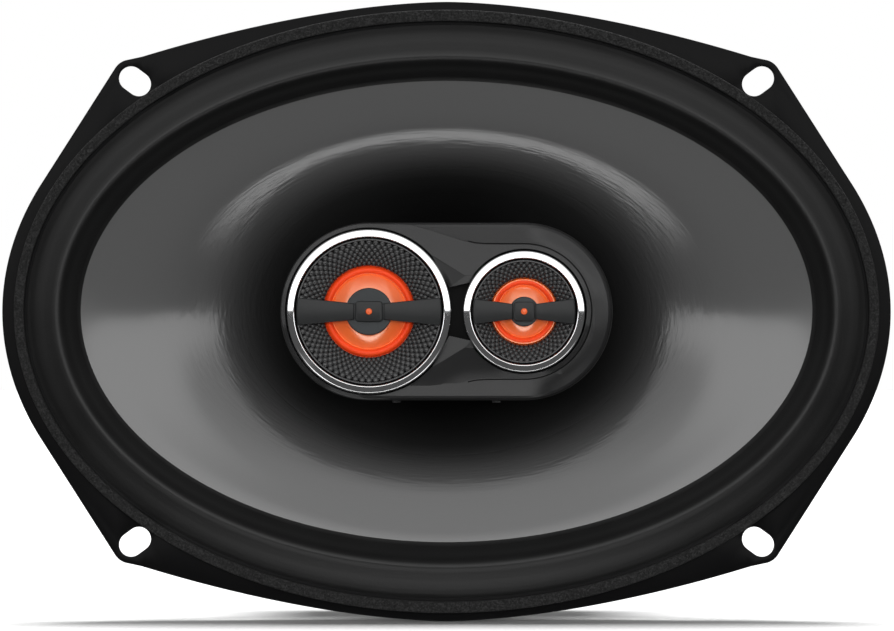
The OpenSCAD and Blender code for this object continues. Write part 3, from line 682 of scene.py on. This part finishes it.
rivets = []
for a in (45, 135, 225, 315):
    x, y = 36 * math.cos(math.radians(a)), 36 * math.sin(math.radians(a))
    z = PAN_Z + WALL
    head = [(0, z - 4.1), (2, z - 4.1), (2, z + 0.01), (3.5, z + 0.01), (3.45, z + 0.4), (2.6, z + 0.95), (1.4, z + 1.2), (0, z + 1.2)]
    rivets.append(spun(head, x, y, 40))
build("pan_rivets", rivets, steel, CHASSIS, ["basket_rivets"], sharp=45)

# ------------------------------------------------------------------ terminal board, blades, wires
TILT = math.atan((ARM_TOP[1] - ARM_LOW_R) / (ARM_TOP_Z - ARM_LOW_Z))
BOARD_Y, BOARD_Z, UP = -mix(ARM_TOP[1], ARM_LOW_R, 0.5) - 0.05, mix(ARM_TOP_Z, ARM_LOW_Z, 0.5), 4


def on_board(x, out, up):
    return (x, BOARD_Y - out * math.cos(TILT) - up * math.sin(TILT), BOARD_Z - out * math.sin(TILT) + up * math.cos(TILT))


def to_board(parts):
    """Plates drawn with x across, y up the board and z outwards."""
    return [([on_board(x, z, y) for x, y, z in p[0]], *p[1:]) for p in parts]


def rounded_box(x0, x1, y0, y1, r=1.0):
    out = []
    for cx, cy, a in ((x1 - r, y1 - r, 0), (x0 + r, y1 - r, 90), (x0 + r, y0 + r, 180), (x1 - r, y0 + r, 270)):
        out += [(cx + r * math.cos(math.radians(a + t)), cy + r * math.sin(math.radians(a + t))) for t in np.linspace(0, 90, 6)]
    return out


holes = [circle(1.2, x, UP, 24) for x in (-10, 0, 10)]
build("board_phenolic", to_board(plate([rounded_box(-18, 18, UP - 7, UP + 7, 1.2)] + holes, 0.05, 1.65, 0.15)), board_mat, CHASSIS, ["terminal_board"])
for name, x, w, node in (("blade_wide", 10, 6.35, "terminal_positive"), ("blade_narrow", -10, 4.75, "terminal_negative")):
    h = w / 2
    shape = [(x - h, UP + 4), (x - h, UP - 13.8), (x - h + 0.9, UP - 15), (x + h - 0.9, UP - 15), (x + h, UP - 13.8), (x + h, UP + 4)]
    build(name, to_board(plate([shape, circle(1.2, x, UP, 24), circle(0.8, x, UP - 12, 20)], 1.65, 2.45, 0.12)), brass, CHASSIS, [node])
caps = []
for x, top in ((10, 2.45), (-10, 2.45), (0, 1.65)):
    caps += to_board([spun([(0, 0.05), (1.2, 0.05), (1.2, top), (2.1, top), (2.05, top + 0.3), (1.5, top + 0.75), (0.7, top + 0.9), (0, top + 0.9)], x, UP, 32)])
build("board_rivets", caps, steel, CHASSIS, ["terminal_rivets"], sharp=45)

a_lead, b_lead = mix(NECK_R, RIM[0], 0.3), mix(NECK_R, RIM[1], 0.3)
t_lead = math.radians(12)
for name, s in (("lead_left", -1), ("lead_right", 1)):
    route = [on_board(s * 15.5, 0.75, UP - 1), on_board(s * 15.2, -3, UP + 0.5), (s * 14, -57, -20), (s * 13, -52, -23), (s * 12, -47, -26),
             (s * 11, -42, -27), (s * 10, -38, -25.5), (s * 9.3, -34.6, -23), (s * a_lead * math.sin(t_lead), -b_lead * math.cos(t_lead), cone_z(0.3) - 1.9)]
    route[0] = on_board(s * 15.5, -0.8, UP - 1)
    lead = build(name, [tube(route, 0.7)], tinsel, None, ["tinsel_leads"] if s == -1 else ())
    if s == 1:
        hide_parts("tinsel_leads")
    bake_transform(lead)
WZ, WY = YOKE_LOW - 0.75, -MAGNET_R - 1.4
wires = []
for s in (-1, 1):
    route = [on_board(s * 6, 2.3, UP + 3), on_board(s * 3.4, 2.6, UP + 3.4), on_board(s * 1.2, 3.6, UP + 2), on_board(s * 0.8, 3.8, UP - 1), on_board(s * 0.8, 3.8, UP - 8),
             (s * 0.8, -62, -40), (s * 0.8, -60, -45), (s * 0.8, -56.5, -50), (s * 0.8, -53, -53.2), (s * 0.8, WY, BOOT_TOP + 1.4), (s * 0.8, WY, BOOT_TOP - 4),
             (s * 0.8, WY, WZ + 4), (s * 0.8, WY + 0.9, WZ + 1), (s * 0.8, -48, WZ), (s * 0.8, -30, WZ), (s * 0.8, -6, WZ), (s * 0.8, -1.5, WZ + 0.4),
             (s * 0.8, 0, WZ + 2), (s * 0.8, 0, -60), (s * 0.8, 0, -20), (s * 0.8, 0, -4.5)]
    wires.append(tube(route, 0.6))
build("pod_feed_wires", wires, wire_skin, CHASSIS, ["feed_wires"])

# ------------------------------------------------------------------ post and nuts
post = rounded([(3.2, YOKE_LOW + 0.2), (5, YOKE_LOW + 0.2), (5, -53), (7.5, -53), (7.5, -50), (5, -50), (5, -11.5), (8.5, -11.5), (8.5, -9), (5, -9), (5, -4.9), (3.2, -4.9)], 0.35)
build("post_hollow", [spun(post, segs=96)], post_plastic, CHASSIS, ["centre_post"])
hexagon = [(8 * math.cos(math.radians(60 * i)), 8 * math.sin(math.radians(60 * i))) for i in range(6)]
for name, lo, hi, node in (("nut_front", -7.5, -5, "post_front_nut"), ("nut_rear", YOKE_LOW + 0.3, YOKE_LOW + 3.5, "post_rear_nut")):
    build(name, plate([hexagon, circle(5, n=64)], lo, hi, 0.3), steel, CHASSIS, [node])

# ------------------------------------------------------------------ pod
def stadium(r, n=64):
    out = []
    for cx, a0 in ((DRIVER_X, -90), (-DRIVER_X, 90)):
        out += [(cx + r * math.cos(math.radians(a0 + 180 * i / n)), r * math.sin(math.radians(a0 + 180 * i / n))) for i in range(n + 1)]
    return out


cup = plate([stadium(22.6), stadium(21.1)], -9, 5.6, [0.4, 0.2], bevel_low=1.6)
cup += plate([stadium(22.0), circle(5.1, n=64), circle(1.2, 2.6, 16.8, 24), circle(1.2, 2.6, -16.8, 24)], -9, -7.5, 0.2)
for x in (-13.2, 13.2):
    cup += plate([rounded_box(x - 1.2, x + 1.2, -24.1, -22.3, 0.3)], 1.5, 3.9, 0.2)
build("pod_shell", cup, cup_plastic, CHASSIS, ["pod_cup"])

# Bezel: a band at 11 mm, and on it the deck, which is level above and falls away below
BAND, DECK = 11, 13


def deck_z(x, y):
    right = smooth01((x + 4) / 10)
    fall = 0.15 * max(0.0, -y - 3) * smooth01((-y - 3) / 4) * mix(0.75, 1, right)
    crown = 0.05 * max(0.0, y - 5) * smooth01((y - 5) / 4)
    return max(BAND + 0.1, DECK - fall - crown)


ring_hole = [circle(MID[1] + 0.42, MID[0], n=144), circle(TWEETER[1] + 0.42, TWEETER[0], n=120)]


def arc(cx, r, a0, a1, n):
    return [(cx + r * math.cos(math.radians(mix(a0, a1, i / n))), r * math.sin(math.radians(mix(a0, a1, i / n)))) for i in range(n + 1)]


# Deck outline: round the large driver, slanting in to the small one. The rings' pockets and the waist cut into it.
deck_r = TWEETER[1] + 1.7
line = [(-9.2, 22.9), (-2, 20.8), (3, 19.15), (5.6, 18.4), (7.6, 17.95), (10, 17.75), (15, 17.7)]
deck_loop = arc(-DRIVER_X, POD_R - 0.25, 90, 270, 72) + [(x, -y) for x, y in line] + arc(DRIVER_X, deck_r, -90, 90, 72) + line[::-1]
WAIST = [(-2.4, 13.4), (4.9, 9.1), (4.95, -9.1), (-2.4, -13.4), (0.2, -8.5), (1.5, -6.5), (1.9, 0), (1.5, 6.5), (0.2, 8.5)]
lattice = [(x * 1.5, y * 1.5) for x in range(-27, 27) for y in range(-16, 17)]
pts = np.array(lattice)
keep = inside(inset(deck_loop, 0.8), pts)
for h in ring_hole:
    keep &= ~inside(inset(h, -0.7), pts)
waist_hole = [(-2.0, 13.3), (4.9, 9.3), (4.9, -9.3), (-2.0, -13.3), (1.35, -6.4), (1.35, 6.4)]


def outside_rings(loop):
    """The loop with points inside a ring's pocket pushed out onto its rim."""
    out = []
    for x, y in loop:
        for d in (MID, TWEETER):
            r = math.hypot(x - d[0], y)
            if r < d[1] + 0.42:
                x, y = d[0] + (x - d[0]) * (d[1] + 0.42) / r, y * (d[1] + 0.42) / r
        out.append((x, y))
    return out


def split_waist(y_left, y_right, corner):
    """Both ring pockets and the waist between them as a single opening."""
    m, t = MID[1] + 0.42, TWEETER[1] + 0.42
    am, at = math.degrees(math.asin(y_left / m)), 180 - math.degrees(math.asin(y_right / t))
    left = arc(MID[0], m, am, 360 - am, 150)
    right = arc(TWEETER[0], t, -at, at, 130)
    return left + ([(corner[0], -corner[1])] if corner else []) + right + ([corner] if corner else [])


def band_z(x, y):
    """The band falls away a little towards the pod's edge."""
    past = max(0.0, abs(x) - DRIVER_X)
    return BAND - 0.28 * max(0.0, math.hypot(past, y) - 19.2) * smooth01(past / 9) + 0.07 * max(0.0, -y - 17.5) * smooth01((14 - past) / 9)


base_open = split_waist(6.5, 7.9, None)
keep1 = inside(inset(stadium(POD_R), 2.2), pts) & ~inside(inset(base_open, 0.6), pts)
base = plate([stadium(POD_R), base_open if area(base_open) < 0 else base_open[::-1]], 5.6, band_z, [1.2, 0.15], extra=[tuple(p) for p in pts[keep1]], bevel_low=0.2)
opening = split_waist(14.8, 9.5, (4.85, 9.3))
keep2 = inside(inset(deck_loop, 0.8), pts) & ~inside(inset(opening, 0.6), pts)
opening_cw = opening if area(opening) < 0 else opening[::-1]
deck = plate([deck_loop, opening_cw], BAND - 0.6, deck_z, [0.16, 0.16], n=2, extra=[tuple(p) for p in pts[keep2]], bevel_low=0.02)

# Waist between the rings: a facet folding down from each side of the deck, and between them a channel in dark plastic,
# which is painted shade for the recess
def wedge(points, triangles, base_z):
    """A closed block under a folded top: points run round its outline, triangles index them."""
    n = len(points)
    pts = [tuple(p) for p in points] + [(p[0], p[1], base_z) for p in points]
    faces = [list(t) for t in triangles] + [[n + i for i in t[::-1]] for t in triangles]
    faces += [[i, (i + 1) % n, n + (i + 1) % n, n + i] for i in range(n)]
    return (pts, faces, 0)


facets = []
for s in (1, -1):
    def at(x, y, z=None):
        return (x, y * s, deck_z(x, y * s) - 0.06 if z is None else z)
    fold = [at(-4.2, 15.3), at(4.85, 9.32), at(7.2, 9.55), at(6.4, 7.7, BAND + 1.0), at(0.75, 6.4, BAND + 0.05)]
    facets.append(wedge(fold, [(0, 1, 4), (1, 3, 4), (1, 2, 3)], 8.9))
# the channel takes the dark plastic: painted shade in the recess
channel = plate([[(-0.6, 8.2), (-0.6, -8.2), (7.4, -8.2), (7.4, 8.2)]], 8.0, 9.3, 0.1, mi=1)
# a thin black strip raised over the band round the small driver's side of the deck: painted shadow for the groove at
# the deck's edge
shadow_strip_in = [(x, -y) for x, y in line[3:]] + arc(DRIVER_X, deck_r, -90, 90, 72) + line[3:][::-1]
shadow_strip_out = [(x, y) for x, y in inset(deck_loop, -0.3)]
near = lambda p: min(shadow_strip_out, key=lambda q: (q[0] - p[0]) ** 2 + (q[1] - p[1]) ** 2)
shadow_strip_far = [near(p) for p in shadow_strip_in]
shadow_strip = plate([shadow_strip_far + shadow_strip_in[::-1]], BAND - 0.8, lambda x, y: band_z(x, y) + 0.04, 0.01, mi=1)
build("pod_face", base + deck + facets + channel + shadow_strip, [bezel_plastic, dark_plastic_and_painted_shade], CHASSIS, ["pod_bezel"], sharp=12)


# ------------------------------------------------------------------ small drivers
def by_radius(part, x, low, high):
    """A turned part in two: faces between the radii low and high take the second material."""
    pts, faces, _, uvs = part
    reach = [sum(math.hypot(pts[i][0] - x, pts[i][1]) for i in f) / len(f) for f in faces]
    second = [low < r < high for r in reach]
    return [(pts, [f for f, t in zip(faces, second) if t == bool(mi)], mi, [u for u, t in zip(uvs, second) if t == bool(mi)]) for mi in (0, 1)]


FILM_STEEP, FILM_GENTLE = 0.72, 0.36        # slope of a dome at its rolled edge and at the plug


def driver(key, d, body, ridges):
    x = d[0]
    # chrome ring: a narrow inner edge facing inwards and a broad face sloping outwards
    slope = 0.235 if key == "mid" else 0.2
    face = [(d[1] - 0.5 + 0.5 * math.sin(math.radians(t)), 13.15 + 0.5 * math.cos(math.radians(t))) for t in (90, 72, 54, 40, 28, 20)]
    face += [(mix(d[1] - 0.34, d[2] + 0.28, k / 6), 13.62 + slope * 1.38 * (k / 6)) for k in range(1, 7)]
    top_z = face[-1][1]
    face += [(d[2] + 0.28 - 0.28 * math.sin(math.radians(t)), top_z - 0.28 * (1 - math.cos(math.radians(t)))) for t in (15, 30, 45, 60, 90)]
    ring = [(d[2], 8.8), (d[1], 8.8)] + face
    build(key + "_chrome_ring", [spun(ring, x, segs=256)], chrome, CHASSIS, [key + "_trim_ring"], sharp=24)
    frame_ring = rounded(ring_profile(d[4] + 0.3, d[1], 7.2, 8.8), 0.2)
    build(key + "_frame", [spun(frame_ring, x, segs=128)], dark_plastic_and_painted_shade, CHASSIS, [key + "_frame_ring"])
    # embossed plate: a shallow dish with rows of pointed bumps on crossing spirals; the dish between the bumps is
    # near-black, painted shade for the gaps
    lip, mouth = d[3], d[4] + 0.4
    def dish(r):
        return mix(10.4, 12.35, ((r - mouth) / (lip - mouth)) ** 0.8 if r > mouth else 0)
    prof = [(mouth, 8.85)] + [(lip, 8.85), (lip, 12.8), (lip - 0.35, 12.8), (lip - 0.5, 12.4)]
    prof += [(r, dish(r)) for r in np.linspace(lip - 0.7, mouth, 9)]
    parts = by_radius(spun(prof, x, segs=144), x, lip - 0.52, 99)
    count = 64 if key == "mid" else 50
    step = 2 * math.pi / count
    r, row = mouth + 0.15, 0
    rows = []
    while r < lip - 0.55:
        rows.append((r, row))
        r *= 1 + 0.62 * step
        row += 1
    pts, faces = [], []
    for r, row in rows:
        w, h = r * step * 0.47, r * step * 0.5
        for i in range(count):
            t = step * (i + 0.5 * (row % 2))
            base, n = len(pts), 8
            for ring_i, (scale, up) in enumerate(((1.0, -0.04), (0.74, 0.18), (0.38, 0.31))):
                for k in range(n):
                    a = 2 * math.pi * k / n
                    rr, tt = r + h * scale * math.sin(a), t + w * scale * math.cos(a) / r
                    pts.append((x + rr * math.cos(tt), rr * math.sin(tt), dish(rr) + up))
            pts.append((x + r * math.cos(t), r * math.sin(t), dish(r) + 0.34))
            for q in range(2):
                for k in range(n):
                    l = (k + 1) % n
                    faces.append([base + q * n + k, base + q * n + l, base + (q + 1) * n + l, base + (q + 1) * n + k])
            faces += [[base + 2 * n + k, base + 2 * n + (k + 1) % n, base + 3 * n] for k in range(n)]
            faces.append([base + k for k in range(n)][::-1])
    parts.append((pts, faces, 1))
    build(key + "_mesh_plate", parts, [mesh_gap_shade_mat, mesh_mat], CHASSIS, [key + "_waveguide"], sharp=55, weld=0.0005)

    # orange diaphragm: rolled edge, groove, then a plain dome; with ridges set, a small lip rises at the outer edge
    e, b = d[4], d[5]
    def film_z(r):
        if r > b:
            k = (r - b) / (e - b)
            lip = 0.32 * math.exp(-((r - e + 0.32) / 0.2) ** 2) if ridges else 0
            return 9.25 + 1.05 * math.sin(math.pi * min(1, max(0, k * 1.08 - 0.02))) ** 0.8 * (1 - 0.25 * k) + lip
        t = (b - max(r, d[6])) / (b - d[6])
        rise = (b - d[6]) * (FILM_STEEP * t - (FILM_STEEP - FILM_GENTLE) * t * t / 2)
        return 9.25 + rise
    rr = list(np.linspace(0, b, 40)) + list(np.linspace(b, e, 26))[1:]
    top = [(r, film_z(r)) for r in rr]
    prof = top + [(e, 9.0)] + [(r, max(z - 0.25, 8.98)) for r, z in top[::-1]]
    prof = [(r, z) for r, z in prof]
    part = spun(prof, x, segs=160)
    build(key + "_dome", by_radius(part, x, b + 0.15, e - 0.75 if ridges else 99), [film, film_edge], body, [key + "_diaphragm"], sharp=40)
    build(key + "_coil", [spun(rounded(ring_profile(b - 0.4, b, 4.6, 8.95), 0.08, 2), x, segs=96)], copper, body, [key + "_voice_coil"])

    # bow-tie bar: two wings, a centre block between thin grooves, and a plain bead
    inner, outer_h, inner_h, block = (3.95, 3.65, 2.15, 3.6) if key == "mid" else (3.0, 3.35, 2.0, 2.75)
    bar = []
    rim = math.sqrt(d[3] ** 2 - outer_h ** 2) - 0.05
    for s in (1, -1):
        wing = [(x + s * inner, -inner_h), (x + s * rim, -outer_h), (x + s * (d[3] - 0.05), -1.2), (x + s * (d[3] - 0.05), 1.2), (x + s * rim, outer_h), (x + s * inner, inner_h)]
        if s == -1:
            wing = wing[::-1]
        bar += plate([wing], 12.8, lambda px, py: 14.0 - 0.045 * abs(px - x) / d[3] * 6 - 0.02 * py * py * 0.6, 0.28, extra=[(x + s * mix(inner, rim, k / 6), 0) for k in range(1, 6)])
    bar += plate([rounded_box(x - block, x + block, -inner_h - 0.55, inner_h + 0.55, 0.9)], 12.8, 13.95, 0.3)
    bar += plate([[(x - inner - 0.6, -inner_h + 0.3), (x + inner + 0.6, -inner_h + 0.3), (x + inner + 0.6, inner_h - 0.3), (x - inner - 0.6, inner_h - 0.3)]], 12.8, 13.45, 0.05)
    build(key + "_bar", bar, bar_plastic, CHASSIS, [key + "_bridge"], sharp=30)
    dot = [(0, 13.8), (0.85, 13.8), (0.85, 14.28), (0.7, 14.44), (0.4, 14.53), (0, 14.55)]
    build(key + "_bead", [spun(dot, x, segs=40)], bead_orange, CHASSIS, [key + "_bridge_dot"], sharp=50)
    plug = [(0, 12.0), (d[6] - 0.25, 12.0), (d[6], 12.2), (d[6], 12.55), (d[6] - 0.22, 12.76), (0, 12.8)]
    build(key + "_plug", [spun(plug, x, segs=96)], cap_plastic, CHASSIS, [key + "_phase_plug"], sharp=40)
    # hidden motor
    cup_p = rounded([(0, -2), (d[4] + 0.3, -2), (d[4] + 0.3, 7.5), (b + 0.45, 7.5), (b + 0.45, 0.4), (0, 0.4)], [0, 0.8, 0.3, 0.2, 0.2, 0])
    build(key + "_motor_cup", [spun(cup_p, x, segs=96)], steel, CHASSIS, [key + "_cup"])
    build(key + "_motor_magnet", [spun(rounded([(0, 0.4), (b - 1.4, 0.4), (b - 1.4, 5.3), (0, 5.3)], [0, 0.3, 0.3, 0]), x, segs=80)], nickel, CHASSIS, [key + "_magnet"])
    build(key + "_motor_plate", [spun(rounded([(0, 5.3), (b - 0.8, 5.3), (b - 0.8, 7.5), (0, 7.5)], [0, 0.2, 0.2, 0]), x, segs=80)], steel, CHASSIS, [key + "_front_plate"])


driver("mid", MID, "mid_dome", False)
driver("tweeter", TWEETER, "tweeter_dome", True)

# ------------------------------------------------------------------ inside the pod
for name, x, z, r, l, node in (("cap_mid", -3.4, 0.6, 3.7, 16, "mid_capacitor"), ("cap_tweeter", 6, -0.2, 2.9, 12, "tweeter_capacitor")):
    p = [(0, -l / 2), (r - 0.5, -l / 2), (r, -l / 2 + 0.5), (r, l / 2 - 0.5), (r - 0.5, l / 2), (0, l / 2)]
    pts, faces, mi, uvs = spun(p, 0, 0, 48)
    build(name, [([(x + a, c, z + b) for a, b, c in pts], faces, mi, uvs)], sleeve, CHASSIS, [node], sharp=50)
build("crossover_card", plate([rounded_box(-7.4, 10.4, -13, 13, 1), circle(2.4, n=48)], -4.4, -3.2, 0.12), circuit, CHASSIS, ["crossover_board"])
screws = []
for s in (1, -1):
    y = 16.8 * s
    screws.append(spun([(0, -10.2), (1.9, -10.2), (2.4, -9.8), (2.4, -9), (1.2, -9), (1.2, 7.7), (0.3, 8.5), (0, 8.5)], 2.6, y, 40))
build("case_screws", screws, steel, CHASSIS, ["pod_screws"], sharp=45)

# ------------------------------------------------------------------ floor, light, camera
FLOOR_Z = -FLANGE_H / 2 * 0.001 - 0.00005
bm = bmesh.new()
for c in ((-6, -6), (6, -6), (6, 6), (-6, 6)):
    bm.verts.new((c[0], c[1], FLOOR_Z))
bm.faces.new(bm.verts)
me = bpy.data.meshes.new("floor")
bm.to_mesh(me)
bm.free()
floor = bpy.data.objects.new("floor", me)
bpy.context.scene.collection.objects.link(floor)
fm = Mat("studio_floor", 0.9, Specular_IOR_Level=0.0)
fm.b.inputs["Base Color"].default_value = (0.32, 0.32, 0.32, 1)
me.materials.append(fm.m)
floor.visible_glossy = False
floor.visible_diffuse = False

FRONT, BEHIND, ARC = 2.5, 1.6, 3.2          # brightness of the front softbox, the light behind and the low arc
world = bpy.data.worlds.new("studio")
bpy.context.scene.world = world
world.use_nodes = True
wt = world.node_tree
wt.nodes.clear()


def wnode(kind, **props):
    n = wt.nodes.new(kind)
    for k, v in props.items():
        setattr(n, k, v)
    return n


def wmath(op, a, b=None, c=None):
    n = wnode("ShaderNodeMath", operation=op)
    for i, v in enumerate((a, b, c)):
        if v is None:
            continue
        if isinstance(v, (int, float)):
            n.inputs[i].default_value = v
        else:
            wt.links.new(v, n.inputs[i])
    return n.outputs[0]


def wstep(value, low, high):
    n = wnode("ShaderNodeMapRange", interpolation_type="SMOOTHSTEP")
    wt.links.new(value, n.inputs["Value"])
    n.inputs["From Min"].default_value = low
    n.inputs["From Max"].default_value = high
    return n.outputs[0]


tc = wnode("ShaderNodeTexCoord")
sp3 = wnode("ShaderNodeSeparateXYZ")
wt.links.new(tc.outputs["Generated"], sp3.inputs[0])
wx, wy, wz = sp3.outputs
rise = wmath("ARCSINE", wz)
round_ = wmath("ARCTAN2", wmath("ABSOLUTE", wx), wmath("MULTIPLY", wy, -1.0))
above = wstep(rise, 0.002, 0.014)
box = wmath("MULTIPLY", wmath("MULTIPLY", above, wstep(rise, 1.12, 0.62)), wstep(round_, 0.80, 0.68))
box = wmath("MULTIPLY", box, wmath("SUBTRACT", 1.0, wmath("MULTIPLY", wstep(rise, 0.1, 0.28), 0.5)))
corner = wstep(wmath("MULTIPLY", wmath("ABSOLUTE", wx), wz), 0.03, 0.22)
box = wmath("MULTIPLY", box, wmath("SUBTRACT", 1.0, wmath("MULTIPLY", corner, 0.3)))
side_fill = wmath("MULTIPLY", above, 0.22)
behind = wmath("MULTIPLY", wstep(wy, 0.0, 0.45), wstep(wz, -0.05, 0.25))
arc_at = wmath("SQRT", wmath("ADD", wmath("POWER", wmath("DIVIDE", wx, 0.5), 2.0), wmath("POWER", wmath("DIVIDE", wz, 0.77), 2.0)))
arc_band = wmath("MULTIPLY", wmath("MULTIPLY", wstep(arc_at, 0.76, 0.98), wstep(arc_at, 1.09, 1.03)),
                 wmath("MULTIPLY", wstep(wz, -0.22, -0.55), wstep(wy, 0.0, -0.1)))
level = wmath("ADD", wmath("MULTIPLY", box, FRONT), wmath("ADD", side_fill, 0.08))
level = wmath("ADD", level, wmath("ADD", wmath("MULTIPLY", behind, BEHIND), wmath("MULTIPLY", arc_band, ARC)))
bg = wnode("ShaderNodeBackground")
wt.links.new(level, bg.inputs["Strength"])
white = wnode("ShaderNodeBackground")
white.inputs["Strength"].default_value = 1.0
white.inputs["Color"].default_value = (1, 1, 1, 1)
bg.inputs["Color"].default_value = (1, 1, 1, 1)
lp = wnode("ShaderNodeLightPath")
mixer = wnode("ShaderNodeMixShader")
out = wnode("ShaderNodeOutputWorld")
wt.links.new(lp.outputs["Is Camera Ray"], mixer.inputs[0])
wt.links.new(bg.outputs[0], mixer.inputs[1])
wt.links.new(white.outputs[0], mixer.inputs[2])
wt.links.new(mixer.outputs[0], out.inputs[0])


def soft_sun(name, energy, spread, tilt):
    """A wide soft light that leaves no highlight. At tilt 0 it shines straight down, at 90 from the front."""
    data = bpy.data.lights.new(name, "SUN")
    data.energy = energy
    data.angle = math.radians(spread)
    sun = bpy.data.objects.new(name, data)
    bpy.context.scene.collection.objects.link(sun)
    sun.rotation_euler = (math.radians(tilt), 0, 0)
    sun.visible_camera = False
    sun.visible_glossy = False


soft_sun("overhead", 11, 26, -13)
soft_sun("front_fill", 1.25, 30, 90)

scene = bpy.context.scene
scene.view_settings.view_transform = "Standard"
scene.view_settings.look = "None"

cam_data = bpy.data.cameras.new("camera")
cam = bpy.data.objects.new("camera", cam_data)
scene.collection.objects.link(cam)
cam_data.lens = 300
cam_data.sensor_width = 36
wide = 894 * 0.26464                      # width of the view at the flange, in mm
cam.location = P(0.13, -1.06, wide * cam_data.lens / 36)
cam.rotation_euler = (math.radians(90), 0, 0)
cam_data.clip_end = 50
scene.camera = cam
